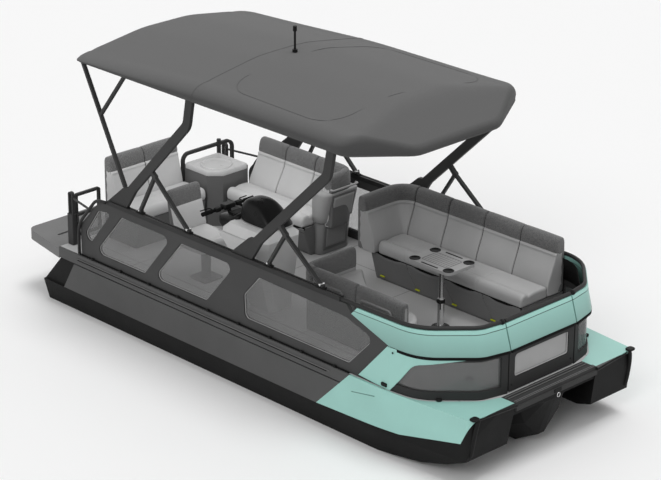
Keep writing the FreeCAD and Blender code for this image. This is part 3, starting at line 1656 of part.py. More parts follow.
def make_sofa():
    seat_low = size.seat_z - size.seat_cushion
    inner_end_x = size.sofa_front_x - size.sofa_end_depth
    base = prism("sofa_base", "YZ_Plane", size.sofa_rear_x, inner_end_x - size.seat_gap, [
        (size.sofa_foot_y, size.deck_top_z),
        (size.sofa_edge_y + size.recess_depth, seat_low - size.recess_height),
        (size.sofa_edge_y + size.recess_depth * 2, seat_low - size.recess_height),
        (size.sofa_edge_y + size.recess_depth * 2, seat_low),
        (size.sofa_outer_y, seat_low),
        (size.sofa_outer_y, size.deck_top_z),
    ])
    seat = prism("sofa_seat", "YZ_Plane", size.sofa_rear_x, inner_end_x - size.seat_gap, [
        (size.sofa_edge_y, seat_low, size.seat_radius / 2),
        (size.sofa_back_y - size.seat_gap, seat_low),
        (size.sofa_back_y - size.seat_gap, size.seat_z),
        (size.sofa_edge_y, size.seat_z, size.seat_radius),
    ])
    back = prism("sofa_long_back", "YZ_Plane", size.sofa_rear_x, size.sofa_front_x, [
        (size.sofa_back_y, seat_low),
        (size.sofa_outer_y, seat_low),
        (size.sofa_outer_y, size.back_top_z, size.seat_radius),
        (size.sofa_outer_y - size.back_head_depth, size.back_top_z, size.seat_radius),
        (size.sofa_outer_y - size.back_waist_depth, size.wall_top_z),
        (size.sofa_back_y, size.seat_z),
    ])
    end = prism("sofa_end", "XZ_Plane", size.sofa_edge_y + size.sofa_end_depth,
                size.sofa_outer_y, [
                    (inner_end_x, size.deck_top_z),
                    (inner_end_x + size.sofa_end_depth / 2, size.deck_top_z),
                    (size.sofa_front_x, size.seat_z),
                    (size.sofa_front_x + size.sofa_end_flare, size.back_top_z - size.seat_radius,
                     size.seat_radius),
                    (size.sofa_front_x - size.seat_radius, size.back_top_z - size.seat_radius,
                     size.seat_radius),
                    (inner_end_x, size.seat_z),
                ])
    return base, seat, joined("sofa_back", [back, end])


def make_aft_bench():
    seat_low = size.seat_z - size.seat_cushion
    base = prism("aft_bench_base", "XZ_Plane", size.aft_side_y, size.aft_inner_y, [
        (size.aft_rear_x, size.deck_top_z),
        (size.aft_edge_x - size.console_bevel, size.deck_top_z),
        (size.aft_edge_x - size.recess_depth, seat_low),
        (size.aft_rear_x, seat_low),
    ])
    seat = prism("aft_bench_seat", "XZ_Plane", size.aft_side_y, size.aft_inner_y, [
        (size.aft_back_x + size.seat_gap, seat_low),
        (size.aft_edge_x, seat_low, size.seat_radius / 2),
        (size.aft_edge_x, size.seat_z, size.seat_radius),
        (size.aft_back_x + size.seat_gap, size.seat_z),
    ])
    back = prism("aft_bench_back", "XZ_Plane", size.aft_side_y, size.aft_inner_y, [
        (size.aft_rear_x, seat_low),
        (size.aft_back_x, seat_low),
        (size.aft_back_x, size.seat_z),
        (size.aft_rear_x + size.back_head_depth, size.wall_top_z),
        (size.aft_rear_x + size.back_head_depth, size.back_top_z, size.seat_radius),
        (size.aft_rear_x, size.back_top_z, size.seat_radius),
    ])
    return base, seat, back


def make_corner_unit():
    body = new_body("corner_unit")
    half = size.corner_half
    bevel = size.corner_half / 2
    outline = [
        (size.corner_x - half, size.corner_y - half),
        (size.corner_x + half - bevel, size.corner_y - half),
        (size.corner_x + half, size.corner_y - half + bevel),
        (size.corner_x + half, size.corner_y + half),
        (size.corner_x - half, size.corner_y + half),
    ]
    pad(body, "XY_Plane", size.deck_top_z, size.corner_top_z, outline)
    pocket_rings(body, "XY_Plane", size.corner_top_z - size.tray_depth,
                 size.corner_top_z + size.overrun,
                 ((size.corner_x, size.corner_y), size.tray_radius))
    return body


keep(*make_sofa(), *make_aft_bench(), make_corner_unit())


# Stern posts, rail and gate

def make_stern_post():
    half_depth = size.stern_post_depth / 2
    low_y = -(size.post_y + size.stern_post_width / 2)
    high_y = -(size.post_y - size.stern_post_width / 2)
    body = prism("stern_box_post", "XY_Plane", size.deck_top_z, size.stern_post_top_z,
                 rectangle(size.post_x - half_depth, size.post_x + half_depth, low_y, high_y,
                           size.bar_radius / 2))
    thick = size.bar_radius
    hoop = [
        (size.post_x - half_depth + thick, size.stern_post_top_z - size.overrun),
        (size.post_x - half_depth + thick, size.stern_tube_top_z, size.stern_post_depth / 4),
        (size.post_x + half_depth - thick, size.stern_tube_top_z, size.stern_post_depth / 4),
        (size.post_x + half_depth - thick, size.stern_post_top_z - size.overrun),
    ]
    pad(body, "XZ_Plane", -size.post_y - thick, -size.post_y + thick,
        centred_strip(hoop, thick))
    middle_y = -(size.wall_y - size.wall_thickness / 2)
    grab = prism("stern_grab_bar", "XY_Plane", size.grab_z, size.grab_z + thick, centred_strip(
        [(size.post_x + half_depth - thick, -size.post_y), (size.grab_end_x, middle_y)], thick))
    bar = difference("fitted_grab_bar", grab, side_wall_starboard)
    hinges = fixed_hinges("stern_hinges", stern_gate_axis(), size.post_x + size.overrun,
                          high_y, size.stern_hinge_low_z, size.stern_hinge_top_z)
    return (joined("stern_post_starboard", [body, bar, hinges]),
            mirrored(joined("plain_stern_post", [body, bar]), "stern_post_port"))


def make_stern_rail():
    body = new_body("stern_rail")
    start_y = size.aft_inner_y + size.overrun * 2
    hoop = [
        (start_y, size.deck_top_z),
        (start_y, size.stern_rail_z, size.corner_half / 3),
        (size.post_y - size.stern_post_depth, size.stern_rail_z, size.corner_half / 3),
        (size.post_y - size.stern_post_depth, size.deck_top_z),
    ]
    half = size.bar_radius
    pad(body, "YZ_Plane", size.stern_rail_x - half, size.stern_rail_x + half,
        centred_strip(hoop, half * 2))
    pad_rings(body, "XY_Plane", size.deck_top_z, size.stern_mast_z,
              ((size.stern_rail_x, size.stern_mast_y), size.stern_mast_radius))
    return body


def make_stern_gate():
    body = new_body("stern_gate_panel")
    bar = size.stern_gate_bar
    half = bar / 2
    low_y = -(size.post_y - size.stern_post_width / 2 - size.gate_gap)
    high_y = size.stern_gate_y
    outline = rectangle(low_y, high_y, size.stern_gate_low_z, size.stern_gate_top_z, bar)
    middle_z = (size.stern_gate_low_z + size.stern_gate_top_z) / 2
    lower = rectangle(low_y + bar, high_y - bar, size.stern_gate_low_z + bar, middle_z - half)
    upper = rectangle(low_y + bar, high_y - bar, middle_z + half, size.stern_gate_top_z - bar)
    pad(body, "YZ_Plane", size.post_x - half, size.post_x + half, outline, lower, upper)
    hinges = moving_hinges("stern_gate_hinges", stern_gate_axis(), size.post_x, low_y,
                           size.stern_hinge_low_z, size.stern_hinge_top_z)
    return joined("stern_gate", [body, hinges])


def stern_gate_axis():
    """The upright axis of the stern gate's hinges, inboard of the post."""
    return (size.post_x + size.stern_post_depth / 2 + size.hinge_radius,
            -(size.post_y - size.stern_post_width / 2 - size.gate_gap / 2))


keep(*make_stern_post())
keep(make_stern_rail(), make_stern_gate())


# Sun top

# Shares of the canopy's tuck: the rear roll's reach forward, and the rise of the side hems.
CANOPY_ROLL_SHARE = 0.66
CANOPY_HEM_SHARE = 0.7


def canopy_drop(place_x):
    """How far the roof has come down at a place aft of its level part."""
    reach = size.canopy_tail_x.value - size.canopy_rear_x.value
    share = (size.canopy_tail_x.value - place_x.value) / reach
    return size.canopy_droop * max(share, 0)


def canopy_space(label, inset):
    """The space inside the canopy's outer form, drawn in by an inset on every side but below."""
    low_z = size.canopy_nose_z - inset
    top_z = size.canopy_top_z - inset
    rear_x = size.canopy_rear_x + inset
    front_x = size.canopy_front_x - inset
    half = size.canopy_half - inset
    radius = size.canopy_roll
    roll_x = rear_x + size.canopy_tuck * CANOPY_ROLL_SHARE
    side = prism(label + "_side", "XZ_Plane", -size.canopy_half, size.canopy_half, [
        (rear_x + size.canopy_tuck, low_z),
        (rear_x, size.canopy_low_z + size.canopy_tuck / 2, radius / 4),
        (roll_x, top_z - canopy_drop(roll_x), radius / 2),
        (size.canopy_tail_x, top_z),
        (size.canopy_crease_x, top_z, radius * 2),
        (front_x - size.canopy_tuck / 2, size.canopy_crease_z - inset, radius / 2),
        (front_x, low_z),
    ])
    section = new_body(label + "_section")
    level = canopy_section(half, low_z, inset, as_length(0))
    loft(section, "YZ_Plane",
         (size.canopy_rear_x, canopy_section(half, low_z, inset, size.canopy_droop)),
         (size.canopy_tail_x, level), (size.canopy_front_x, level))
    plan = prism(label + "_plan", "XY_Plane", low_z, top_z, both_sides([
        (rear_x, -half, radius),
        (size.canopy_corner_x, -half, radius * 2),
        (front_x - inset / 2, -size.canopy_front_half, radius * 3),
    ]))
    return common(label, [side, section, plan])


def canopy_section(half, low_z, inset, drop):
    """The cross-section of the canopy: upright hems, rolled shoulders and a crowned top."""
    hem_rise = size.canopy_tuck * CANOPY_HEM_SHARE
    port = [
        (half / 4, size.canopy_top_z - inset - drop, size.canopy_roll * 8),
        (half - size.canopy_shoulder, size.canopy_side_z - inset - drop, size.canopy_roll),
        (half, size.canopy_low_z + hem_rise - drop / 6, size.canopy_roll / 3),
        (half, low_z),
    ]
    starboard = [(-corner[0],) + tuple(corner[1:]) for corner in reversed(port)]
    return port + starboard


def make_canopy():
    outer = canopy_space("canopy_outer", as_length(0))
    inner = canopy_space("canopy_inner", size.canopy_wall)
    shell = difference("canopy_shell", outer, inner)
    hem = prism("canopy_hem_cut", "XZ_Plane", -size.canopy_half - size.overrun,
                size.canopy_half + size.overrun, [
                    (size.canopy_rear_x - size.overrun, size.canopy_nose_z - size.overrun * 2),
                    (size.canopy_front_x + size.overrun, size.canopy_nose_z - size.overrun * 2),
                    (size.canopy_front_x + size.overrun, size.canopy_nose_z),
                    (size.canopy_crease_x, size.canopy_low_z),
                    (size.canopy_rear_x - size.overrun, size.canopy_low_z),
                ])
    return difference("canopy", shell, hem)


def arm_range():
    """The sideways range of the frame arms on the starboard rail."""
    middle_y = -(size.wall_y - size.wall_thickness / 2)
    low_y = middle_y - size.arm_depth / 2 + size.hinge_radius
    return low_y, low_y + size.arm_depth


def make_arm(label, foot_x, bend_x, bend_z, top_x, plate_rear_x):
    """A flat frame arm on its base plate, bent upright at its top."""
    low_y, high_y = arm_range()
    line = [(foot_x, size.arm_foot_z - size.overrun), (bend_x, bend_z, size.arm_bend_radius),
            (top_x, size.arm_top_z + size.overrun)]
    body = prism(label, "XZ_Plane", low_y, high_y, centred_strip(line, size.arm_width))
    trim_top(body)
    rail_z = size.wall_top_z + size.rail_height
    plate = [
        (plate_rear_x, rail_z),
        (plate_rear_x + size.arm_plate_length, rail_z),
        (foot_x + size.arm_width, size.arm_foot_z + size.overrun),
        (foot_x - size.arm_width, size.arm_foot_z),
    ]
    pad(body, "XZ_Plane", low_y, high_y, plate)
    return body


def trim_top(body):
    """Cuts a part of the frame level at the foot of the cross bows."""
    above = rectangle(size.canopy_rear_x, size.canopy_front_x, size.arm_top_z,
                      size.arm_top_z + size.arm_width)
    pocket(body, "XZ_Plane", -size.half_beam, -size.half_beam / 2, above)


def make_struts(label, clevis_x, clevis_z, arm):
    """The two bracing struts of an arm, pinned at a clevis under it."""
    low_y, high_y = arm_range()
    rail_z = size.wall_top_z + size.rail_height
    foot = size.strut_width
    body = new_body(label)
    for foot_x in (clevis_x + size.strut_foot_spread, clevis_x - size.strut_foot_back):
        line = [(clevis_x, clevis_z), (foot_x, rail_z + foot / 2)]
        pad(body, "XZ_Plane", low_y, high_y, centred_strip(line, size.strut_width))
        pad(body, "XZ_Plane", low_y, high_y,
            rectangle(foot_x - foot, foot_x + foot, rail_z, rail_z + foot))
    pad_rings(body, "XZ_Plane", low_y, high_y, ((clevis_x, clevis_z), size.strut_width))
    lug = [(clevis_x, clevis_z), (clevis_x - size.arm_width, clevis_z + size.arm_width)]
    pad(body, "XZ_Plane", low_y, high_y, centred_strip(lug, size.clevis_width))
    return difference(label + "_fitted", body, arm)


def make_top_frame():
    low_y, high_y = arm_range()
    rear_arm = make_arm("rear_arm", size.rear_arm_foot_x, size.rear_arm_bend_x,
                        size.rear_arm_bend_z, size.rear_arm_top_x,
                        size.rail_rear_x)
    front_arm = make_arm("front_arm", size.front_arm_foot_x, size.front_arm_bend_x,
                         size.front_arm_bend_z, size.front_arm_top_x,
                         size.front_plate_rear_x)
    arms = grouped("top_arms_starboard", [rear_arm, front_arm])
    struts = [make_struts("rear_struts", size.rear_clevis_x, size.rear_clevis_z, rear_arm),
              make_struts("front_struts", size.front_clevis_x, size.front_clevis_z, front_arm)]
    quarter = prism("quarter_strut", "XZ_Plane", low_y, high_y, centred_strip(
        [(size.rear_arm_foot_x - size.arm_width, size.arm_foot_z),
         (size.quarter_strut_top_x, size.arm_top_z + size.overrun)], size.strut_width))
    pad(quarter, "XZ_Plane", low_y, high_y, centred_strip(
        [(size.quarter_fork_x, size.quarter_fork_z),
         (size.quarter_branch_x, size.arm_top_z + size.overrun)], size.strut_width))
    trim_top(quarter)
    quarter_fitted = difference("quarter_strut_fitted", quarter, rear_arm)
    return arms, grouped("top_struts_starboard", struts + [quarter_fitted])


def make_top_bows():
    """The cross bows under the cloth, at the quarter strut and at each arm."""
    half = size.strut_width / 2
    reach = size.canopy_wall + size.bow_set_in
    below = rectangle(-size.half_beam, size.half_beam, size.arm_foot_z, size.arm_top_z)
    bows = []
    for place_x in (size.quarter_strut_top_x, size.rear_arm_top_x, size.front_arm_top_x):
        drop = canopy_drop(place_x - half)
        top_z = size.canopy_top_z - size.canopy_wall - half - size.rest_gap - drop
        side_y = size.canopy_half - reach
        port = [
            (size.canopy_half / 4, top_z, size.canopy_roll * 8),
            (side_y - size.canopy_shoulder, size.canopy_side_z - reach - drop, size.canopy_roll),
            (side_y, size.canopy_low_z + size.bow_hem_rise - drop / 6, size.canopy_roll / 3),
            (side_y, size.arm_top_z - size.overrun),
        ]
        starboard = [(-corner[0],) + tuple(corner[1:]) for corner in reversed(port)]
        bow = prism("top_bow", "YZ_Plane", place_x - half, place_x + half,
                    centred_strip(starboard + port, size.strut_width))
        pocket(bow, "YZ_Plane", place_x - half, place_x + half, below)
        bows.append(bow)
    return grouped("top_bows", bows)


def make_light_mast():
    body = new_body("light_mast")
    centre = (size.mast_x, 0)
    head = size.mast_head_radius
    pad_rings(body, "XY_Plane", size.canopy_top_z, size.mast_top_z, (centre, size.mast_radius))
    pad_rings(body, "XY_Plane", size.canopy_top_z, size.canopy_top_z + head, (centre, head))
    pad_rings(body, "XY_Plane", size.mast_top_z - head * 2, size.mast_top_z,
              (centre, size.mast_lamp_radius))
    return body


top_arms_starboard, top_struts_starboard = make_top_frame()
keep(top_arms_starboard, mirrored(top_arms_starboard, "top_arms_port"))
keep(top_struts_starboard, mirrored(top_struts_starboard, "top_struts_port"))
keep(make_top_bows(), make_canopy(), make_light_mast())


# Checks before anything is written

document.recompute()
for item in document.Objects:
    if "Invalid" in item.State or "Error" in item.State:
        raise RuntimeError(f"{item.Label} failed to build")
    if item.TypeId == "PartDesign::Pocket" and item.Shape.Volume >= item.BaseFeature.Shape.Volume:
        raise RuntimeError(f"{item.Label} removes nothing")
for node in nodes:
    if node.Shape.isNull() or not node.Shape.isValid():
        raise RuntimeError(f"{node.Label} has no sound shape")
for node in nodes:
    node.Shape.exportStep(f"parts/{node.Label}.step")
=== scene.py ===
import math
from bisect import bisect_left

import bmesh
import bpy
from mathutils import Matrix, Vector


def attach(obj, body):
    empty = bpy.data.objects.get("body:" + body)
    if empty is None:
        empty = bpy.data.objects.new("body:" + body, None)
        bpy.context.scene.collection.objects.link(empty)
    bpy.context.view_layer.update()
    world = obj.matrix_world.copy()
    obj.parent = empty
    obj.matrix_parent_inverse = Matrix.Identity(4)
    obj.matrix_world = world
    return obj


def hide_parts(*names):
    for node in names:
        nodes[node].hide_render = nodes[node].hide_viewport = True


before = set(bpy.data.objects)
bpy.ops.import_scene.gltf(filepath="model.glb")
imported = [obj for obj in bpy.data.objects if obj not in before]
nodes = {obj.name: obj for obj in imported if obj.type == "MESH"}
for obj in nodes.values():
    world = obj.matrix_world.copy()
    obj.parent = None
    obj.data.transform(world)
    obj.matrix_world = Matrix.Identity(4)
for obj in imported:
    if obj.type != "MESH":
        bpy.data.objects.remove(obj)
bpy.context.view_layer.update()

ROOT = "boat"
SIDES = (("starboard", -1), ("port", 1))
MINT = (158, 207, 198)
WHITE = (1, 1, 1, 1)


def add_object(name, data):
    """A new object in the scene."""
    made = bpy.data.objects.new(name, data)
    bpy.context.scene.collection.objects.link(made)
    return made


# Camera, solved from the photo

camera_data = bpy.data.cameras.new("camera")
camera_data.sensor_width = 36
camera_data.lens = 134.6
camera_data.clip_end = 500
camera = add_object("camera", camera_data)
bpy.context.scene.camera = camera
camera.matrix_world = Matrix((
    (0.6967090, -0.2742051, 0.6628787, 16.6202),
    (0.7173465, 0.2621199, -0.6455286, -15.9534),
    (0.0032536, 0.9252593, 0.3793214, 10.6255),
    (0, 0, 0, 1),
))


# Shader helpers

MIX_A, MIX_B, MIX_RESULT = 6, 7, 2  # the colour sockets of a mix node


def linear(level):
    """A screen level from 0 to 255 as a linear amount."""
    level = level / 255
    return level / 12.92 if level <= 0.04045 else ((level + 0.055) / 1.055) ** 2.4


def screen(colour):
    """A screen colour, one level or three, as linear numbers with full alpha."""
    levels = colour if isinstance(colour, tuple) else (colour,) * 3
    return (*(linear(level) for level in levels), 1.0)


def add_node(tree, kind, sockets=None, **settings):
    """A new node with its settings, and a value or a link for each of its given sockets."""
    made = tree.nodes.new(kind)
    for key, value in settings.items():
        setattr(made, key, value)
    for key, value in (sockets or {}).items():
        if isinstance(value, bpy.types.NodeSocket):
            tree.links.new(value, made.inputs[key])
        else:
            made.inputs[key].default_value = value
    return made


class Shader:
    """A material under construction, with its Principled shader and object-space coordinates."""

    def __init__(self, name, colour, roughness, metallic=0.0, **sockets):
        self.material = bpy.data.materials.new(name)
        self.material.use_nodes = True
        self.tree = self.material.node_tree
        self.shader = self.tree.nodes["Principled BSDF"]
        self.colour = screen(colour)
        self.material.diffuse_color = self.colour
        sockets.update(Base_Color=self.colour, Roughness=roughness, Metallic=metallic)
        for socket, value in sockets.items():
            self.shader.inputs[socket.replace("_", " ")].default_value = value
        self.place = self.node("ShaderNodeTexCoord").outputs["Object"]
        self.normal = None

    def node(self, kind, sockets=None, **settings):
        return add_node(self.tree, kind, sockets, **settings)

    def drive(self, socket, out):
        """Links an output into a socket of the Principled shader."""
        self.tree.links.new(out, self.shader.inputs[socket])
        return self

    def maths(self, operation, *values):
        return self.node("ShaderNodeMath", dict(enumerate(values)), operation=operation).outputs[0]

    def axis(self, letter, vector=None):
        """One coordinate of a vector, or of the place on the object."""
        return self.node("ShaderNodeSeparateXYZ", {0: vector or self.place}).outputs[letter]

    def noise(self, scale, detail=3, stretch=(1, 1, 1)):
        spread = self.node("ShaderNodeMapping", {"Vector": self.place, "Scale": stretch})
        return self.node("ShaderNodeTexNoise", {
            "Vector": spread.outputs[0], "Scale": scale, "Detail": detail}).outputs["Fac"]

    def cells(self, scale):
        return self.node("ShaderNodeTexVoronoi", {
            "Vector": self.place, "Scale": scale}).outputs["Distance"]

    def waves(self, scale, direction, turn=0.0):
        turned = self.node("ShaderNodeMapping", {"Vector": self.place, "Rotation": (0, 0, turn)})
        return self.node("ShaderNodeTexWave", {"Vector": turned.outputs[0], "Scale": scale},
                         bands_direction=direction).outputs["Fac"]

    def between(self, value, low, high, start=0.0, end=1.0):
        """Goes from start to end as value goes from low to high."""
        return self.node("ShaderNodeMapRange", {
            "Value": value, "From Min": low, "From Max": high,
            "To Min": start, "To Max": end}).outputs[0]

    def blend(self, amount, first, second):
        """A colour between two, by amount."""
        return self.node("ShaderNodeMix", {0: amount, MIX_A: first, MIX_B: second},
                         data_type="RGBA").outputs[MIX_RESULT]

    def shade(self, factor):
        """The material's own colour, darker or lighter by a factor."""
        return (*(min(1, part * factor) for part in self.colour[:3]), 1.0)

    def paint(self, colour):
        return self.drive("Base Color", colour)

    def patches(self, scale, amount):
        """Large soft patches, a little darker and a little lighter than the colour."""
        patch = self.between(self.noise(scale, 4), 0.3, 0.7)
        return self.blend(patch, self.shade(1 - amount), self.shade(1 + amount))

    def vary(self, scale, amount):
        return self.paint(self.patches(scale, amount))

    def rough(self, scale, low, high):
        """Roughness that drifts between two levels."""
        return self.drive("Roughness", self.between(self.noise(scale), 0.0, 1.0, low, high))

    def bump(self, height, distance, strength):
        sockets = {"Height": height, "Distance": distance, "Strength": strength}
        if self.normal:
            sockets["Normal"] = self.normal
        self.normal = self.node("ShaderNodeBump", sockets).outputs[0]
        return self.drive("Normal", self.normal)

    def soft_edges(self, radius):
        """Edges that catch the light as moulded or folded ones do."""
        self.normal = self.node("ShaderNodeBevel", {"Radius": radius}, samples=4).outputs[0]
        return self.drive("Normal", self.normal)


def plastic(name, colour, roughness=0.5, grain=0.0002, edge=0.003, shine=0.4):
    shader = Shader(name, colour, roughness, Specular_IOR_Level=shine)
    shader.vary(1.7, 0.07).rough(6, roughness - 0.08, roughness + 0.08).soft_edges(edge)
    return shader.bump(shader.cells(520), grain, 0.5)


def dull(name, colour, roughness, grain=0.0002):
    """A matt plastic with little shine, for the dark parts."""
    return plastic(name, colour, roughness, grain, shine=0.12)


def gelcoat(name):
    return plastic(name, MINT, 0.34, 0.0001, 0.004)


def metal(name, colour, roughness, metallic):
    shader = Shader(name, colour, roughness, metallic)
    shader.vary(3, 0.08).rough(14, roughness - 0.1, roughness + 0.1).soft_edges(0.002)
    return shader.bump(shader.noise(60, 2, (1, 14, 14)), 0.0002, 0.4)


def vinyl(name, colour):
    shader = Shader(name, colour, 0.46, Specular_IOR_Level=0.45)
    shader.vary(2.4, 0.05).rough(9, 0.38, 0.54)
    shader.bump(shader.noise(7), 0.006, 0.35)
    return shader.bump(shader.cells(430), 0.0004, 0.6)


def heather(name, colour):
    """Speckled woven cloth."""
    shader = Shader(name, colour, 0.9, Sheen_Weight=0.3, Sheen_Roughness=0.5)
    speck = shader.between(shader.noise(170, 2), 0.35, 0.65)
    shader.paint(shader.blend(speck, shader.shade(0.55), shader.shade(1.6)))
    weave = shader.maths("MULTIPLY", shader.waves(75, "X"), shader.waves(75, "Z"))
    shader.bump(shader.noise(8, 2), 0.005, 0.3)
    return shader.bump(weave, 0.0008, 0.8)


# Materials

hull_black = dull("hull_black", 24, 0.62, 0.0005)
shell = dull("shell_grey", 86, 0.62)
platform = plastic("platform_mat", 116, 0.75, 0.0008)
trim_black = dull("black_trim", 26, 0.5)
step_grey = dull("step_mat", 62, 0.7, 0.0006)
wall_grey = dull("wall_frame", 70, 0.62)
frame_dark = dull("bow_frame_dark", 52, 0.6)
rail = plastic("rail_coated", 42, shine=0.2)
arm_metal = dull("arm_coated", 60, 0.55)
console_skin = plastic("console_shell", 224, 0.42)
console_dark = dull("console_pod", 30, 0.3)
base_skin = plastic("seat_base_shell", 112, 0.6, 0.0005)
shell_mid = plastic("cabinet_shell", 172)
plinth_skin = plastic("plinth_shell", 134)
# mint darkened as painted shade, for the line in the cap's slot
mint_painted_shade = plastic("mint_painted_shade", (96, 132, 126))
tray_light = plastic("tray_shell", 214, 0.3)
facet_light = plastic("console_facet_light", 248, 0.4)
gap_black = dull("gap_black", 14, 0.8)
table_skin = plastic("table_top_skin", 168, 0.5, 0.0004)
grip = dull("grip_rubber", 20, 0.8, 0.0009)
jet = metal("jet_alloy", 120, 0.4, 0.85)
steel = metal("polished_steel", 190, 0.2, 1.0)
engine_paint = plastic("engine_cover", 60)
seat_vinyl = vinyl("seat_vinyl", 172)
# The aft vinyl and the aft heather are lighter copies of the same upholstery: painted light for the
# seats under the sun top.
aft_vinyl_painted_light = vinyl("aft_vinyl_painted_light", 212)
dark_vinyl = vinyl("dark_vinyl", 104)
heather_cloth = heather("heather_cloth", 98)
aft_heather_painted_light = heather("aft_heather_painted_light", 112)
tag_green = plastic("tag_green", (196, 204, 20))


def make_deck_material():
    """Cushioned deck vinyl with a fine diagonal grid and broad tile seams."""
    shader = Shader("deck_mat", 186, 0.72)
    diagonal = math.radians(45)
    weave = shader.maths("MAXIMUM", *(shader.waves(18, letter, diagonal) for letter in "XY"))
    mesh = shader.between(weave, 0.86, 0.98)
    seams = []
    for letter, pitch in (("X", 1.22), ("Y", 0.8)):
        shifted = shader.maths("ADD", shader.axis(letter), 4.1)
        seams.append(shader.between(shader.maths("PINGPONG", shifted, pitch / 2), 0.006, 0.003))
    dark = shader.maths("MAXIMUM", shader.maths("MULTIPLY", mesh, 0.10),
                        shader.maths("MAXIMUM", *seams))
    shader.paint(shader.blend(dark, shader.colour, shader.shade(0.45)))
    return shader.bump(shader.maths("SUBTRACT", 1.0, dark), 0.0008, 0.4)


def make_canvas():
    """Charcoal canvas: a fine plain weave over slow tension ripples, with painted shade that
    darkens it where it's steep.
    """
    shader = Shader("canvas", 100, 0.9, Sheen_Weight=0.1, Sheen_Roughness=0.6,
                    Specular_IOR_Level=0.2)
    weave = shader.maths("MULTIPLY", shader.waves(120, "X"), shader.waves(120, "Y"))
    fleck = shader.between(shader.noise(240, 2), 0.35, 0.65)
    # the first copy is for up-facing cloth, the second a darker copy: painted shade on the steep
    # sides
    top, side = [shader.blend(fleck, shader.shade(low), shader.shade(high))
                 for low, high in ((0.88, 1.10), (0.40, 0.52))]
    upward = shader.axis("Z", shader.node("ShaderNodeNewGeometry").outputs["Normal"])
    shader.paint(shader.blend(shader.between(upward, 0.985, 0.30), top, side))
    shader.bump(shader.noise(1.3, 2), 0.02, 0.25)
    return shader.bump(weave, 0.0006, 0.7)


def make_pane(name, level, alpha):
    """A smoky moulded pane, part see-through."""
    shader = Shader(name, level, 0.1, Alpha=alpha, Specular_IOR_Level=0.35)
    return shader.rough(4, 0.06, 0.16).vary(1.1, 0.1)


def make_wall_panes():
    """The walls' smoky panes, which are darker and denser in the bow frame."""
    shader = make_pane("pane_smoke", 128, 0.36)
    beyond = shader.between(shader.axis("X"), 2.27, 2.28)
    shader.paint(shader.blend(beyond, shader.colour, screen(96)))
    return shader.drive("Alpha", shader.maths("MULTIPLY_ADD", beyond, 0.26, 0.36))


def make_cap_material():
    """Mint cap whose bow corner, beyond the slanted seam, is black."""
    shader = gelcoat("cap_mint")
    slant = shader.maths("MULTIPLY", shader.axis("Z"), 0.48)
    beyond = shader.between(shader.maths("SUBTRACT", shader.axis("X"), slant), 2.905, 2.907)
    return shader.paint(shader.blend(beyond, shader.patches(1.7, 0.05), screen(34)))


def make_fairing_material():
    """Mint fairing with a dark line of painted shade at the ledge under the tube, and painted shade
    that darkens its lower face towards the bottom.
    """
    shader = gelcoat("fairing_mint")
    height, base = shader.axis("Z"), shader.colour
    # the line is painted shade in the ledge crease, bumped in as well
    away = shader.maths("ABSOLUTE", shader.maths("SUBTRACT", height, 1.338))
    line = shader.between(away, 0.0045, 0.0025)
    # painted shade: the slanted lower face gets darker towards its foot
    low = shader.blend(shader.between(height, 1.336, 1.13), shader.shade(0.86), shader.shade(0.62))
    face = shader.blend(shader.between(height, 1.334, 1.340), low, base)
    face = shader.blend(shader.between(height, 1.126, 1.130), base, face)
    shader.paint(shader.blend(line, face, shader.shade(0.18)))
    return shader.bump(line, -0.004, 0.8)


deck_mat = make_deck_material()
fairing_mint = make_fairing_material()
canvas = make_canvas()

NODE_MATERIALS = {  # by the start of a node's name; the longest match counts
    "hull": hull_black, "side_shell": shell, "bow_cap": make_cap_material(), "deck": deck_mat,
    "bow_step": step_grey, "swim_platform": platform, "engine": engine_paint,
    "jet": jet, "reverse_bucket": jet, "side_wall": wall_grey, "bow_frame": frame_dark,
    "windows": make_wall_panes(), "top_rail": rail, "bow_fairing": fairing_mint,
    "gate_frame": frame_dark, "gate_window": make_pane("pane_gate_smoke", 176, 0.62),
    "gate_fairing": fairing_mint, "lounge_base": base_skin, "bench_base": base_skin,
    "sofa_base": base_skin, "aft_bench_base": base_skin, "table_top": table_skin,
    "table_post": steel, "console_body": console_skin, "console_dash": console_dark,
    "handlebar": grip, "helm_pedestal": base_skin, "corner_unit": dark_vinyl,
    "stern": arm_metal, "top_": arm_metal, "light_mast": trim_black,
}
for name, thing in nodes.items():
    keys = [key for key in NODE_MATERIALS if name.startswith(key)]
    if keys:
        for place in thing.material_slots:
            place.material = NODE_MATERIALS[max(keys, key=len)].material

# Finishes: a record slot and the materials of a piece
TRIM = ("black_trim", trim_black)
GAP = ("black_trim", gap_black)
POD = ("black_trim", console_dark)
CANVAS = ("canvas", canvas)
BASE = ("seat_base", base_skin)
CABINET = ("seat_base", shell_mid)
PLINTH = ("seat_base", plinth_skin)
TRAY = ("console_grey", tray_light)
BAR_TRIM = ("grip_black", trim_black)
TABLE_TRIM = ("table_grey", base_skin)
POST_TRIM = ("post_metal", trim_black)
CLOTH = ("vinyl", heather_cloth, seat_vinyl, base_skin)
# the lighter aft upholstery copies: painted light under the sun top
AFT_CLOTH_PAINTED_LIGHT = ("vinyl", aft_heather_painted_light, aft_vinyl_painted_light, base_skin)


# Mesh helpers

def piece(name, mesh, finish, body=ROOT, level=0):
    """A new visible piece that rides on a body, with the materials of its finish."""
    slot_name, *shaders = finish
    made = add_object(name, mesh)
    for shader in shaders:
        mesh.materials.append(shader.material)
    for face in mesh.polygons:
        face.use_smooth = True
    if level:
        surface = made.modifiers.new("Subdivision", "SUBSURF")
        surface.levels = surface.render_levels = level
    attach(made, body)
    return made


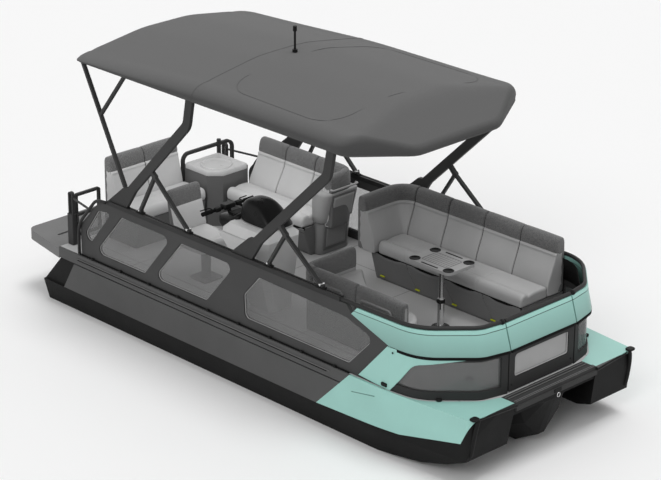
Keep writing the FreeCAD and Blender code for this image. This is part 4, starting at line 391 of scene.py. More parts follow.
def solid(name, points, faces, marks=(), join=0.0):
    """A mesh whose faces look outward. marks are its material numbers, and corners closer
    than join become one."""
    mesh = bpy.data.meshes.new(name)
    mesh.from_pydata([tuple(point) for point in points], [], faces)
    for face, mark in zip(mesh.polygons, marks):
        face.material_index = mark
    work = bmesh.new()
    work.from_mesh(mesh)
    if join:
        bmesh.ops.remove_doubles(work, verts=work.verts, dist=join)
    bmesh.ops.recalc_face_normals(work, faces=work.faces)
    work.to_mesh(mesh)
    work.free()
    return mesh


def ring_mesh(name, rings, zones=None, caps=True, join=0.0):
    """A mesh through rings of equal count. zones gives each side face its material number, and
    caps the corner numbers and material number of each end face."""
    count, last = len(rings[0]), len(rings) - 1
    zones = zones or [0] * count
    faces, marks = [], []
    for row in range(0, last * count, count):
        for here in range(count):
            a, b = row + here, row + (here + 1) % count
            faces.append((a, b, b + count, a + count))
            marks.append(zones[here])
    ends = [(range(count), max(zones))] if caps is True else caps or []
    for indices, mark in ends:
        faces += [tuple(indices)[::-1], tuple(last * count + index for index in indices)]
        marks += [mark] * 2
    return solid(name, [corner for ring in rings for corner in ring], faces, marks, join)


def turns(count):
    """The angles of a circle's equal parts."""
    return [math.tau * k / count for k in range(count)]


def limited(value, low=0.0, high=1.0):
    return max(low, min(high, value))


def plan_path(corners, step=0.02):
    """A dense plan line through corners (x, y, radius), rounded at its middle corners."""
    line = [Vector(corners[0][:2])]
    for before, (x, y, *radius), after in zip(corners, corners[1:], corners[2:]):
        here = Vector((x, y))
        if not radius:
            line.append(here)
            continue
        back = (Vector(before[:2]) - here).normalized()
        ahead = (Vector(after[:2]) - here).normalized()
        half = math.acos(limited(back.dot(ahead), -1)) / 2
        reach = radius[0] / math.tan(half)
        centre = here + (back + ahead).normalized() * (radius[0] / math.sin(half))
        steps = max(4, int((math.pi - 2 * half) * radius[0] / step))
        first, last = [(here + way * reach - centre).normalized() for way in (back, ahead)]
        line += [centre + first.slerp(last, part / steps) * radius[0] for part in range(steps + 1)]
    line.append(Vector(corners[-1][:2]))
    return line


class Track:
    """A plan line that gives the places at and beside any distance along it."""

    def __init__(self, corners, step=0.02):
        self.line = plan_path(corners, step)
        self.reach = [0.0]
        for start, end in zip(self.line, self.line[1:]):
            self.reach.append(self.reach[-1] + (end - start).length)
        self.length = self.reach[-1]

    def at(self, distance):
        distance = limited(distance, 0.0, self.length)
        index = bisect_left(self.reach, distance, 1, len(self.line) - 1) - 1
        span = max(self.reach[index + 1] - self.reach[index], 1e-9)
        return self.line[index].lerp(self.line[index + 1], (distance - self.reach[index]) / span)

    def beside(self, distance, depth):
        """The place at a depth to the right of the line."""
        step = 0.012
        ahead = (self.at(distance + step) - self.at(distance - step)).normalized()
        return self.at(distance) + Vector((ahead.y, -ahead.x)) * depth

    def spread(self, count):
        """Places at equal distances from the start of a closed line."""
        return [self.at(self.length * k / count) for k in range(count)]


def section_normals(section):
    """Outward directions of a closed section, whose rows start with depth and height."""
    area = sum(a[0] * b[1] - b[0] * a[1] for a, b in zip(section, section[1:] + section[:1]))
    sign = 1 if area > 0 else -1
    out = []
    for index in range(len(section)):
        before, after = section[index - 1], section[(index + 1) % len(section)]
        run = Vector((after[0] - before[0], after[1] - before[1])).normalized()
        out.append((run.y * sign, -run.x * sign))
    return out


def pad_module(name, track, start, end, profile, finish, round_end=0.016, seams=(), caps=True):
    """One upholstered module: a profile of (depth, height, material number, swell) swept along
    a track, rounded in at both ends, swollen between them and drawn in at each sewn seam."""
    groove_width, groove_depth, row_step = 0.012, 0.006, 0.05
    spots = [(0.0, round_end + 0.003), (0.0, round_end), (0.08, round_end * 0.55),
             (0.3, round_end * 0.24), (0.65, round_end * 0.05), (1.0, 0.0)]
    length = end - start
    straight = length - 2 * round_end
    inner = max(3, int(straight / row_step))
    stops = [start + round_end + straight * i / inner for i in range(1, inner)]
    for seam in seams:
        stops = [stop for stop in stops if abs(stop - seam) > 0.02]
        stops += [seam + shift for shift in (-groove_width, -0.005, 0, 0.005, groove_width)]
    rows = [(start + share * round_end, inset) for share, inset in spots]
    rows += [(stop, 0.0) for stop in sorted(stops)]
    rows += [(end - share * round_end, inset) for share, inset in reversed(spots)]
    normals = section_normals(profile)
    rings = []
    for distance, inset in rows:
        rise = math.sin(math.pi * limited((distance - start) / length)) ** 0.5
        groove = max([0.0] + [1 - abs(distance - seam) / groove_width for seam in seams])
        ring = []
        for (depth, height, _, swell), out in zip(profile, normals):
            push = swell * rise - inset - (groove_depth * groove if swell > 0 else 0)
            ring.append((*track.beside(distance, depth + out[0] * push), height + out[1] * push))
        rings.append(ring)
    mesh = ring_mesh(name, rings, [row[2] for row in profile], caps)
    made = piece(name, mesh, finish, level=1)
    return made


def tube(name, points, radius, finish, body=ROOT, sides=10, closed=False, level=0):
    """A round bar along points."""
    points = [Vector(p) for p in points]
    last = len(points) - 1
    rings = []
    guide = None
    for index, here in enumerate(points):
        before = points[index - 1] if index or closed else here
        after = points[(index + 1) % (last + 1)] if index < last or closed else here
        ahead = (after - before).normalized()
        guide = guide or ahead.orthogonal().normalized()
        guide = (guide - ahead * guide.dot(ahead)).normalized()
        side = ahead.cross(guide)
        rings.append([here + (guide * math.cos(t) + side * math.sin(t)) * radius
                      for t in turns(sides)])
    if closed:
        rings.append(rings[0])
    mesh = ring_mesh(name, rings, caps=not closed, join=1e-6 if closed else 0.0)
    return piece(name, mesh, finish, body, level)


def curve_points(corners, radius, steps=8):
    """3-D points through corners, each middle one rounded to a radius."""
    corners = [Vector(corner) for corner in corners]
    out = corners[:1]
    for before, here, after in zip(corners, corners[1:], corners[2:]):
        back, ahead = before - here, after - here
        reach = min(radius, back.length * 0.49, ahead.length * 0.49)
        start, end = here + back.normalized() * reach, here + ahead.normalized() * reach
        for part in range(steps + 1):
            t = part / steps
            out.append(start.lerp(here, t).lerp(here.lerp(end, t), t))
    return out + corners[-1:]


def lathe(name, profile, centre, finish, axis="Z", body=ROOT, sides=32):
    """A turned piece: profile is (radius, height) along the axis, from one end to the other."""
    def spot(a, b, height):
        return Vector({"Z": (a, b, height), "X": (height, a, b), "Y": (b, height, a)}[axis])
    rings = [[Vector(centre) + spot(radius * math.cos(t), radius * math.sin(t), height)
              for t in turns(sides)] for radius, height in profile]
    return piece(name, ring_mesh(name, rings), finish, body)


def slab(name, outline, low, high, finish, body=ROOT, edge=0.004, plane="XY"):
    """A flat plate with rounded edges: outline in its plane, between two levels."""
    def spot(u, v, w):
        return {"XY": (u, v, w), "XZ": (u, w, v), "YZ": (w, u, v)}[plane]
    normals = section_normals(outline)
    ladder = [(edge + 0.0015, 0.0)]
    ladder += [(edge * (1 - math.sin(t)), edge * (1 - math.cos(t)))
               for t in (math.pi / 2 * part / 3 for part in range(4))]
    levels = [(inset, low + rise) for inset, rise in ladder]
    levels += [(inset, high - rise) for inset, rise in reversed(ladder)]
    rings = [[spot(u - n[0] * inset, v - n[1] * inset, w)
              for (u, v), n in zip(outline, normals)] for inset, w in levels]
    return piece(name, ring_mesh(name, rings), finish, body)


# Sun top: one stretched sheet, rings from the hem up over the rolled shoulder to the ridge

HALF, REAR, FRONT = 1.203, -2.298, 1.958
TOP, HEM = 3.103, 2.818
CREASE = 1.50  # where the visor starts
SIDE_ROLL, BOW_ROLL = 0.150, 0.045  # the shoulder's width
SPINE = (-1.25, 0.95)  # the ends of the line that the rings draw in to


def softened(value, width):
    """Zero below nought and the value above it, with a soft bend between."""
    return width * math.log(1 + math.exp(limited(value / width, -40.0, 40.0)))


def canopy_top(x, y):
    """The crowned top surface: it droops aft, and slopes down as a visor ahead of the crease."""
    valley = 0.006 * math.exp(-((abs(y) - 0.965) / 0.030) ** 2)
    crown = TOP - 0.160 * softened(abs(y) - 0.31, 0.05) - 0.060 * softened(-0.3 - x, 0.12) - valley
    visor = TOP - (x - CREASE) * 0.60 - 0.02 * (y / HALF) ** 2
    return crown - softened(crown - visor, 0.010)


def hem_level(x):
    """The lower edge: level along the sides, dropping to the bow point."""
    return HEM - 0.074 * max(0.0, (x - CREASE) / 0.46)


def canopy_rings(around):
    """Rings through the canopy's side, its rolled shoulder and its top, from the outline in."""
    shapes = []
    for spot in around:
        ahead, behind = limited((spot.x - CREASE) / 0.25), limited((-2.16 - spot.x) / 0.12)
        width = SIDE_ROLL * (1 - ahead) + BOW_ROLL * ahead - 0.055 * behind
        spine = Vector((limited(spot.x, *SPINE), 0.0))
        low = hem_level(spot.x) - 0.020 * behind
        height = max(0.020, (canopy_top(spot.x, spot.y) - low) * (0.74 - 0.2 * ahead))
        shapes.append((spot, (spine - spot).normalized(), spine, width, height, low, behind))
    rings = []
    for share in (0.0, 0.06, 0.5, 1.0):
        ring = []
        for spot, inward, _, _, height, low, behind in shapes:
            tuck = (0.010 + 0.035 * behind) * (1 - share)
            top = canopy_top(spot.x, spot.y) - height
            ring.append((*(spot + inward * tuck), low + (top - low) * share))
        rings.append(ring)
    for step in range(1, 11):
        angle = math.pi / 2 * step / 10
        ring = []
        for spot, inward, _, width, height, _, _ in shapes:
            plan = spot + inward * width * (1 - math.cos(angle))
            ring.append((*plan, canopy_top(*plan) - height * (1 - math.sin(angle))))
        rings.append(ring)
    for share in (0.03, 0.07, 0.13, 0.2, 0.28, 0.37, 0.47, 0.58, 0.7, 0.83, 0.94, 1.0):
        plans = [(spot + inward * width).lerp(spine, share)
                 for spot, inward, spine, width, _, _, _ in shapes]
        rings.append([(*plan, canopy_top(*plan)) for plan in plans])
    return rings


def make_canopy():
    around = Track([
        (REAR, 0), (REAR, -HALF, 0.13), (1.60, -HALF, 0.16), (FRONT, -0.56, 0.30),
        (FRONT, 0.56, 0.30), (1.60, HALF, 0.16), (REAR, HALF, 0.13), (REAR, 0)]).spread(216)
    rings = canopy_rings(around)
    mesh = ring_mesh("sun_top", rings, caps=False, join=1e-4)
    if sum(face.normal.z for face in mesh.polygons) < 0:
        mesh.flip_normals()
    made = piece("sun_top", mesh, CANVAS)
    cloth = made.modifiers.new("Solidify", "SOLIDIFY")
    cloth.thickness = 0.003
    cloth.offset = -1
    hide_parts("canopy")
    near, far = [min(range(len(around)), key=lambda k: (around[k] - Vector((-0.45, y))).length)
                 for y in (-HALF, HALF)]
    cross = [ring[near] for ring in rings[3:]] + [ring[far] for ring in rings[-2:2:-1]]
    panel_line = plan_path([
        (0.45, -1.02), (-0.20, -1.00, 0.30), (-0.17, 0.30, 2.0), (-0.06, 0.98, 0.3),
        (1.49, 0.98, 0.3), (1.31, -0.20, 1.2), (1.28, -1.04, 0.3), (0.45, -1.02)])
    seams = [
        tube("sun_top_cross_seam", [(x, y, z + 0.0005) for x, y, z in cross], 0.0035, CANVAS,
             sides=6),
        tube("sun_top_panel_seam", [(*p, canopy_top(*p) + 0.0005) for p in panel_line[:-1]],
             0.0038, CANVAS, sides=6, closed=True),
        tube("sun_top_hem", [(x, y, z + 0.003) for x, y, z in rings[1]], 0.006, CANVAS, sides=8,
             closed=True),
    ]


make_canopy()


# Upholstery. Profiles are rows of depth from the outer face, height, material number and swell.

BACK_CAPS = [(range(4, 17), 0), ([*range(16, 31), *range(5)], 1)]
BACK = [
    (0.010, 1.012, 2, 0), (0.002, 1.030, 2, 0), (0.000, 1.20, 2, 0), (0.000, 1.38, 2, 0),
    (0.000, 1.448, 0, 0), (0.000, 1.50, 0, 0), (0.002, 1.545, 0, 0), (0.012, 1.575, 0, 0.002),
    (0.030, 1.590, 0, 0.003), (0.055, 1.594, 0, 0.004), (0.080, 1.588, 0, 0.004),
    (0.099, 1.572, 0, 0.004), (0.110, 1.545, 0, 0.005), (0.118, 1.515, 0, 0.006),
    (0.123, 1.485, 0, 0.004), (0.126, 1.462, 0, 0.002), (0.127, 1.452, 0, 0),
    (0.121, 1.446, 1, 0), (0.126, 1.442, 1, 0), (0.134, 1.439, 1, 0), (0.139, 1.431, 1, 0),
    (0.140, 1.421, 1, 0), (0.136, 1.411, 1, 0), (0.140, 1.403, 1, 0), (0.155, 1.350, 1, 0.004),
    (0.178, 1.290, 1, 0.010), (0.203, 1.225, 1, 0.012), (0.225, 1.165, 1, 0.008),
    (0.236, 1.125, 1, 0), (0.238, 1.080, 1, 0), (0.238, 1.030, 1, 0), (0.232, 1.014, 1, 0),
]
BOLSTER = [
    (0.006, 1.012, 0, 0), (0.000, 1.04, 0, 0), (0.000, 1.16, 0, 0.002), (0.000, 1.29, 0, 0.002),
    (0.004, 1.322, 0, 0.002), (0.016, 1.342, 0, 0.002), (0.034, 1.350, 0, 0.003),
    (0.056, 1.350, 0, 0.003), (0.074, 1.342, 0, 0.003), (0.085, 1.322, 0, 0.003),
    (0.089, 1.29, 0, 0.004), (0.090, 1.20, 0, 0.004), (0.089, 1.158, 0, 0),
    (0.082, 1.150, 1, 0), (0.086, 1.142, 1, 0), (0.088, 1.06, 1, 0), (0.084, 1.012, 1, 0),
]
HELM_BACK = [
    (0.000, 1.15, 2, 0), (0.004, 1.20, 2, 0), (-0.030, 1.40, 2, 0), (-0.052, 1.54, 0, 0),
    (-0.050, 1.575, 0, 0), (-0.038, 1.592, 0, 0.002), (-0.014, 1.598, 0, 0.003),
    (0.012, 1.590, 0, 0.003), (0.028, 1.570, 0, 0.003), (0.042, 1.50, 0, 0.004),
    (0.052, 1.44, 0, 0.002), (0.050, 1.428, 1, 0), (0.062, 1.42, 1, 0),
    (0.072, 1.38, 1, 0.006), (0.100, 1.28, 1, 0.012), (0.118, 1.19, 1, 0.004),
    (0.118, 1.15, 1, 0),
]
SEAT_LOW, SEAT_TOP = 1.011, 1.140
CREASE_DEPTH = 0.115  # of the crease behind a seat's front bolster
JOINT = 0.004  # half the gap between two modules


def modules(prefix, node, track, cuts, profile, finish, **settings):
    """A run of modules between cuts; the first one replaces the node."""
    for number, (start, end) in enumerate(zip(cuts, cuts[1:]), start=1):
        made = pad_module(f"{prefix}_{number}", track, start + JOINT, end - JOINT, profile,
                          finish, **settings)
        if number == 1:
            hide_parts(node)


def make_back(prefix, node, track, cuts, finish, front=0.0):
    """Seat-back modules, deeper by front at their foot, over a dark core: painted shade that shows
    in the gaps between the modules.
    """
    profile = []
    for depth, height, zone, swell in BACK:
        extra = front * limited((1.378 - height) / 0.238) if depth > 0.1 else 0.0
        profile.append((depth + extra, height, zone, swell))
    modules(prefix, node, track, cuts, profile, finish, caps=BACK_CAPS)
    # the core is a black body inside the modules, painted shade for the gaps between them
    core = [(max(0.012, min(depth - 0.012, depth * 0.93 + 0.008)),
             min(height - 0.010, 1.580) if height > 1.03 else height + 0.012)
            for depth, height, _, _ in profile]
    stops = [0.03 + (cuts[-1] - 0.06) * step / 40 for step in range(41)]
    rings = [[(*track.beside(stop, depth), height) for depth, height in core] for stop in stops]
    piece(prefix + "_core", ring_mesh(prefix + "_core", rings), TRIM)


def make_seat(name, node, track, width, seams, skin):
    """A seat cushion: rounded nose, bolster, sewn crease, then the sitting surface."""
    low, top, crease = SEAT_LOW, SEAT_TOP, CREASE_DEPTH
    profile = [
        (width - 0.006, low, 0, 0), (width, low + 0.012, 0, 0), (width, top - 0.030, 0, 0),
        (width - 0.008, top - 0.012, 0, 0), (width - 0.030, top - 0.004, 0, 0.002),
        (width * 0.72, top - 0.002, 0, 0.008), (width * 0.52, top - 0.002, 0, 0.010),
        (crease + 0.05, top - 0.006, 0, 0.005), (crease + 0.018, top - 0.010, 0, 0),
        (crease + 0.006, top - 0.014, 0, 0), (crease, top - 0.019, 0, 0),
        (crease - 0.006, top - 0.012, 0, 0), (crease - 0.020, top - 0.004, 0, 0.002),
        (0.070, top + 0.003, 0, 0.005), (0.042, top, 0, 0.005), (0.020, top - 0.012, 0, 0.005),
        (0.006, top - 0.034, 0, 0.005), (0.000, top - 0.062, 0, 0.005),
        (0.002, low + 0.036, 0, 0.003), (0.006, low + 0.016, 0, 0.001),
        (0.014, low + 0.004, 0, 0), (0.030, low, 0, 0),
    ]
    made = pad_module(name, track, 0.0, track.length, profile, ("vinyl", skin), 0.03, seams)
    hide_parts(node)


lounge_line = Track([(0.160, 0.452), (0.160, 1.128, 0.27), (2.344, 1.128)])
corner_run = lounge_line.length - (2.344 - 0.436)
lounge_cuts = [0.0] + [corner_run + x - 0.436 for x in (0.436, 0.905, 1.385, 1.865, 2.344)]
make_back("lounge_back", "lounge_back", lounge_line, lounge_cuts, CLOTH)
make_seat("lounge_seat", "lounge_seat", Track([(2.344, 0.502), (0.40, 0.502)]), 0.386,
          [2.344 - x for x in (0.784, 1.27, 1.75)], seat_vinyl)

sofa_line = Track([(-1.778, 0.998), (-0.372, 0.998, 0.20), (-0.372, 0.56)])
sofa_cuts = [x + 1.778 for x in (-1.778, -1.353, -0.904, -0.463)] + [sofa_line.length - 0.05]
make_back("sofa_back", "sofa_back", sofa_line, sofa_cuts, AFT_CLOTH_PAINTED_LIGHT, 0.04)
make_seat("sofa_seat", "sofa_seat", Track([(-0.60, 0.402), (-1.778, 0.402)]), 0.316,
          [0.30, 0.75], aft_vinyl_painted_light)

aft_line = Track([(-2.478, -0.689), (-2.478, 0.238)])
make_back("aft_back", "aft_bench_back", aft_line, [0.0, 0.464, 0.927], AFT_CLOTH_PAINTED_LIGHT, -0.03)
make_seat("aft_seat", "aft_bench_seat", Track([(-1.902, 0.238), (-1.902, -0.689)]), 0.366,
          [0.464], aft_vinyl_painted_light)

bench_line = Track([(2.029, -0.798), (0.642, -0.798, 0.12), (0.642, -0.110)])
modules("bench_back", "bench_back", bench_line,
        [0.0, 2.029 - 1.397, 2.029 - 0.80, bench_line.length], BOLSTER, CLOTH[:3], round_end=0.02)


def outline_cushion(name, node, corners, low, top, skin, body=ROOT):
    """A cushion on a free outline: rings that round its edge, then draw in to its middle."""
    edge, crown, crease = 0.04, 0.012, 0.007
    outline = Track(corners + [corners[0]], 0.01).spread(150)
    middle = sum(outline, Vector((0, 0))) / len(outline)
    normals = section_normals(outline)
    rows = [(0.020, low), (0.006, low + 0.004), (0.0, low + 0.016), (-0.003, (low + top) / 2),
            (0.0, top - edge)]
    rows += [(edge * (1 - math.cos(t)), top - edge + edge * math.sin(t))
             for t in (0.35, 0.7, 1.05, 1.35)]
    rings = [[(p.x - n[0] * inset, p.y - n[1] * inset, height)
              for p, n in zip(outline, normals)] for inset, height in rows]
    rim = [Vector(point[:2]) for point in rings[-1]]
    for share in (0.06, 0.10, 0.14, 0.25, 0.4, 0.55, 0.7, 0.85, 1.0):
        dip = crease if share == 0.10 else 0.0
        rise = crown * math.sin(math.pi / 2 * share) if share > 0.1 else 0.0
        rings.append([(*spot.lerp(middle, share), top + rise - dip) for spot in rim])
    made = piece(name, ring_mesh(name, rings, join=1e-5), ("vinyl", skin), body, level=1)
    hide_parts(node)


outline_cushion("bench_seat", "bench_seat", [
    (1.30, -0.706), (0.734, -0.706, 0.02), (0.734, -0.040, 0.04), (1.066, -0.318, 0.10),
    (1.93, -0.502, 0.10), (2.028, -0.60, 0.06), (2.028, -0.706, 0.02)], 1.011, 1.138, seat_vinyl)
outline_cushion("helm_cushion", "helm_seat", [
    (-0.9, -0.883), (-0.692, -0.883, 0.10), (-0.692, -0.437, 0.10), (-1.225, -0.437, 0.08),
    (-1.225, -0.883, 0.08)], 1.042, 1.168, aft_vinyl_painted_light, body="helm_chair")
helm_line = Track([(-1.225, -0.865), (-1.225, -0.455)])
helm_back = pad_module("helm_backrest", helm_line, 0.0, 0.41, HELM_BACK, AFT_CLOTH_PAINTED_LIGHT, 0.03)
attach(helm_back, "helm_chair")


# Detail helpers

def rounded(low_u, high_u, low_v, high_v, radius):
    """A rectangle's outline with rounded corners, anticlockwise."""
    out = []
    left, right, near, far = low_u + radius, high_u - radius, low_v + radius, high_v - radius
    for u, v, start in ((right, near, -90), (right, far, 0), (left, far, 90), (left, near, 180)):
        for turn in (math.radians(start + 18 * part) for part in range(6)):
            out.append((u + radius * math.cos(turn), v + radius * math.sin(turn)))
    return out


def panel(name, spot, normal, finish, thickness=0.006, soft=0.003, size=(12, 8)):
    """A thin plate on a surface: spot(u, v) gives its back, its face has softened edges."""
    normal = Vector(normal).normalized()
    lines = [[0.0, 0.006] + [k / n for k in range(1, n)] + [0.994, 1.0] for n in size]
    wide, tall = len(lines[0]), len(lines[1])
    points = [Vector(spot(u, v)) + normal * thickness for v in lines[1] for u in lines[0]]
    faces = [(a, a + 1, a + wide + 1, a + wide)
             for j in range(tall - 1) for a in range(j * wide, (j + 1) * wide - 1)]
    last = (tall - 1) * wide
    rim = [*range(wide - 1), *range(wide - 1, last + wide - 1, wide),
           *range(last + wide - 1, last, -1), *range(last, 0, -wide)]
    for index in rim:
        points[index] -= normal * soft
    first = len(points)
    points += [points[index] - normal * (thickness - soft) for index in rim]
    for k, here in enumerate(rim):
        there = (k + 1) % len(rim)
        faces.append((here, rim[there], first + there, first + k))
    faces.append(tuple(range(first, len(points))))
    return piece(name, solid(name, points, faces), finish)


def lofted(name, sections, finish):
    """A closed skin through sections, each a height and an outline in plan."""
    rings = [[(u, v, height) for u, v in outline] for height, outline in sections]
    return piece(name, ring_mesh(name, rings), finish)


def smooth(share):
    """A soft step from 0 to 1."""
    share = limited(share)
    return share * share * (3 - 2 * share)


def swollen(value, power):
    """A sine or cosine drawn outward, so that a circle becomes a rounded square."""
    return math.copysign(abs(value) ** power, value)


# Seat bases: panels with curved seams, finger recesses and pull tags

SEAM_TOP, SEAM_SWAY = 1.0, 0.30  # the level where a seam starts to curve, and over what height


def base_panels(prefix, seams, low, high):
    """Panels on a seat base that faces starboard, from low (y, z) to high (y, z), between seams
    that each have an x at the top and one at the foot."""
    rise = Vector((high[0] - low[0], high[1] - low[1]))
    for number, (left, right) in enumerate(zip(seams, seams[1:]), start=1):
        def spot(u, v, left=left, right=right):
            dip = 0.026 * max(0.0, 1 - ((u - 0.5) / 0.33) ** 2) * v
            height = low[1] + rise.y * v - dip
            sway = smooth((SEAM_TOP - height) / SEAM_SWAY)
            start, end = [top + (foot - top) * sway for top, foot in (left, right)]
            x = start + JOINT + (end - start - 2 * JOINT) * u
            return (x, low[0] + rise.x * (height - low[1]) / rise.y, height)
        panel(f"{prefix}_{number}", spot, (0, -rise.y, rise.x), BASE, size=(24, 10))


def painted_shade_strip(name, start, end, y):
    """A dark strip behind a base's panels and under its cushion: painted shade in the gap there."""
    rings = [[(x, y - 0.003, 0.955), (x, y - 0.003, 1.010), (x, y + 0.012, 1.010),
              (x, y + 0.012, 0.955)] for x in (start, end)]
    piece(name, ring_mesh(name, rings), GAP)


base_panels("lounge_panel", ((0.306, 0.306), (0.804, 0.890), (1.317, 1.400), (1.830, 1.916),
                             (2.330, 2.330)), (0.600, 0.694), (0.517, 1.008))
painted_shade_strip("lounge_gap_shade", 0.32, 2.32, 0.530)
base_panels("sofa_panel", ((-1.779, -1.779), (-1.36, -1.30), (-0.92, -0.86), (-0.583, -0.583)),
            (0.520, 0.694), (0.417, 1.008))
painted_shade_strip("sofa_gap_shade", -1.77, -0.60, 0.430)

TAG_FOOT, TAG_Y, TAG_SLOPE = 0.694, 0.5905, 0.265  # on the lounge base's sloping front
TAG = ((-0.016, 0.731), (0.010, 0.733), (0.018, 0.745), (0.014, 0.751), (-0.010, 0.750),
       (-0.020, 0.739))
for number, x in enumerate((0.412, 0.907, 1.415, 1.932), start=1):
    for part, shift in ((1, -0.017), (2, 0.013)):
        rings = [[(x + shift + a, TAG_Y - depth - (b - TAG_FOOT) * TAG_SLOPE, b) for a, b in TAG]
                 for depth in (0.0, 0.009)]
        piece(f"pull_tag_{number}_{part}", ring_mesh("tag", rings), ("seat_base", tag_green))


# Sofa end: a cabinet shell with a framed door, a grab rail and a plinth

def end_outline(front_x, low_y):
    return [(-0.585, low_y), (front_x - 0.06, low_y), (front_x - 0.018, low_y + 0.018),
            (front_x, low_y + 0.06), (front_x, 0.95), (front_x - 0.012, 0.982),
            (front_x - 0.04, 0.994), (-0.585, 0.994)]


def end_panel(name, low_y, high_y, low, high, normal, finish, thickness, soft=0.003):
    """A panel on the bow face of the sofa end, between two (x, z) lines."""
    def spot(u, v):
        return (low[0] + (high[0] - low[0]) * v, low_y + (high_y - low_y) * u,
                low[1] + (high[1] - low[1]) * v)
    panel(name, spot, normal, finish, thickness, soft)


for name, finish, rows in (
        ("sofa_end_shell", CABINET, (
            (1.056, -0.470, 0.560), (1.062, -0.452, 0.545), (1.14, -0.428, 0.535),
            (1.26, -0.392, 0.532), (1.37, -0.366, 0.535), (1.398, -0.362, 0.540),
            (1.404, -0.372, 0.550))),
        ("sofa_end_plinth", PLINTH, (
            (0.692, -0.505, 0.570), (0.70, -0.500, 0.565), (0.76, -0.505, 0.570),
            (1.03, -0.470, 0.560), (1.055, -0.480, 0.575)))):
    lofted(name, [(height, end_outline(front_x, low_y)) for height, front_x, low_y in rows], finish)
DOOR_NORMAL, PLINTH_NORMAL = (0.979, 0, -0.206), (1, 0, -0.1)
end_panel("sofa_door_frame", 0.610, 0.945, (-0.421, 1.095), (-0.360, 1.385), DOOR_NORMAL, BASE,
          0.008)
end_panel("sofa_door", 0.635, 0.920, (-0.411, 1.120), (-0.364, 1.362), DOOR_NORMAL, CABINET,
          0.014, 0.005)
end_panel("sofa_plinth_frame", 0.610, 0.945, (-0.499, 0.740), (-0.476, 1.010), PLINTH_NORMAL,
          ("seat_base", dark_vinyl), 0.006)
end_panel("sofa_plinth_door", 0.640, 0.915, (-0.494, 0.775), (-0.477, 0.985), PLINTH_NORMAL,
          PLINTH, 0.011, 0.005)
tube("sofa_grab_rail", curve_points([(-0.375, 0.60, 1.452), (-0.338, 0.60, 1.452),
                                     (-0.338, 0.955, 1.452), (-0.375, 0.955, 1.452)], 0.03),
     0.011, ("rail_grey", shell_mid))


# Helm: hood, cowling, vents, grips and levers

BAR_Y = -0.66  # the middle of the handlebar
HOOD_FOOT = 1.514
FACET_Y = (-0.938, -0.930)


def hood_ring(share):
    """A ring of the helm hood at a share of its height: its top falls away towards the bow."""
    turn = share * math.pi / 2
    half_x, half_y = 0.265 * math.cos(turn) ** 0.50, 0.185 * math.cos(turn) ** 0.45
    ring = []
    for t in turns(40):
        x = -0.070 - 0.07 * share + half_x * swollen(math.cos(t), 0.6)
        y = -0.575 + half_y * swollen(math.sin(t), 0.6)
        fall = 1 - 0.62 * smooth((x + 0.14) / 0.34)
        ring.append((x, y, HOOD_FOOT + 0.225 * math.sin(turn) * fall))
    return ring


hood_rings = [hood_ring(k / 12) for k in range(12)] + [hood_ring(0.985)]
hood = piece("helm_hood", ring_mesh("helm_hood", hood_rings), POD, level=1)
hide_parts("console_dash")
tube("hood_seam", [(x, y, HOOD_FOOT + 0.010) for x, y, _ in hood_rings[0]], 0.007,
     ("console_grey", shell_mid), closed=True, sides=8)
slab("console_facet", [(-0.404, 1.440), (-0.215, 1.255), (-0.190, 1.250), (0.0, 1.375),
                       (0.188, 1.440)], *FACET_Y, ("console_grey", facet_light), plane="XZ")
tube("console_crease", [(-0.405, -0.9345, 1.446), (0.20, -0.9345, 1.446)], 0.004, TRAY, sides=6)
tube("helm_vent", [(-0.20, -0.846, 1.508), (0.12, -0.846, 1.508)], 0.010, GAP)
cowl = [[(x, BAR_Y + half * swollen(math.cos(t), 0.7),
          (low + high) / 2 + (high - low) / 2 * swollen(math.sin(t), 0.7)) for t in turns(24)]
        for x, half, low, high in (
            (-0.640, 0.040, 1.40, 1.46), (-0.625, 0.075, 1.37, 1.487), (-0.56, 0.095, 1.345, 1.505),
            (-0.47, 0.105, 1.34, 1.520), (-0.40, 0.115, 1.36, 1.545), (-0.345, 0.120, 1.40, 1.568),
            (-0.29, 0.110, 1.45, 1.575))]
piece("helm_cowl", ring_mesh("helm_cowl", cowl), POD, level=1)
pad_sides = (BAR_Y - 0.075, BAR_Y + 0.075)
slab("helm_screen", rounded(-0.455, -0.36, *pad_sides, 0.012), 1.545, 1.562, TRIM)
grips = [(0.017, -0.062), (0.023, -0.060), (0.023, -0.052), (0.020, -0.048)]
for rib in range(5):
    grips += [(radius, start + rib * 0.018) for radius, start in (
        (0.020, -0.042), (0.0225, -0.038), (0.0225, -0.032), (0.020, -0.028))]
grips += [(0.020, 0.052), (0.024, 0.056), (0.020, 0.061), (0.012, 0.0625)]
for side, sign in SIDES:
    y = BAR_Y + sign * 0.28
    lathe(f"grip_{side}", grips, (-0.555, y, 1.570), ("grip_black", grip), "Y", "steering_bar")
    tube(f"lever_{side}", curve_points([
        (-0.56, y - sign * 0.085, 1.578), (-0.610, y - sign * 0.085, 1.585),
        (-0.622, y + sign * 0.03, 1.580)], 0.03), 0.006, BAR_TRIM, "steering_bar", sides=8)
slab("bar_pad", rounded(-0.598, -0.512, *pad_sides, 0.02), 1.552, 1.604,
     ("grip_black", console_dark), "steering_bar", 0.012)
for side, sign in SIDES:
    y = BAR_Y + sign * 0.14
    slab(f"switch_pod_{side}", rounded(-0.582, -0.528, y - 0.035, y + 0.035, 0.012), 1.550, 1.592,
         BAR_TRIM, "steering_bar", 0.008)


# Corner unit: a light moulded tray over the dark body

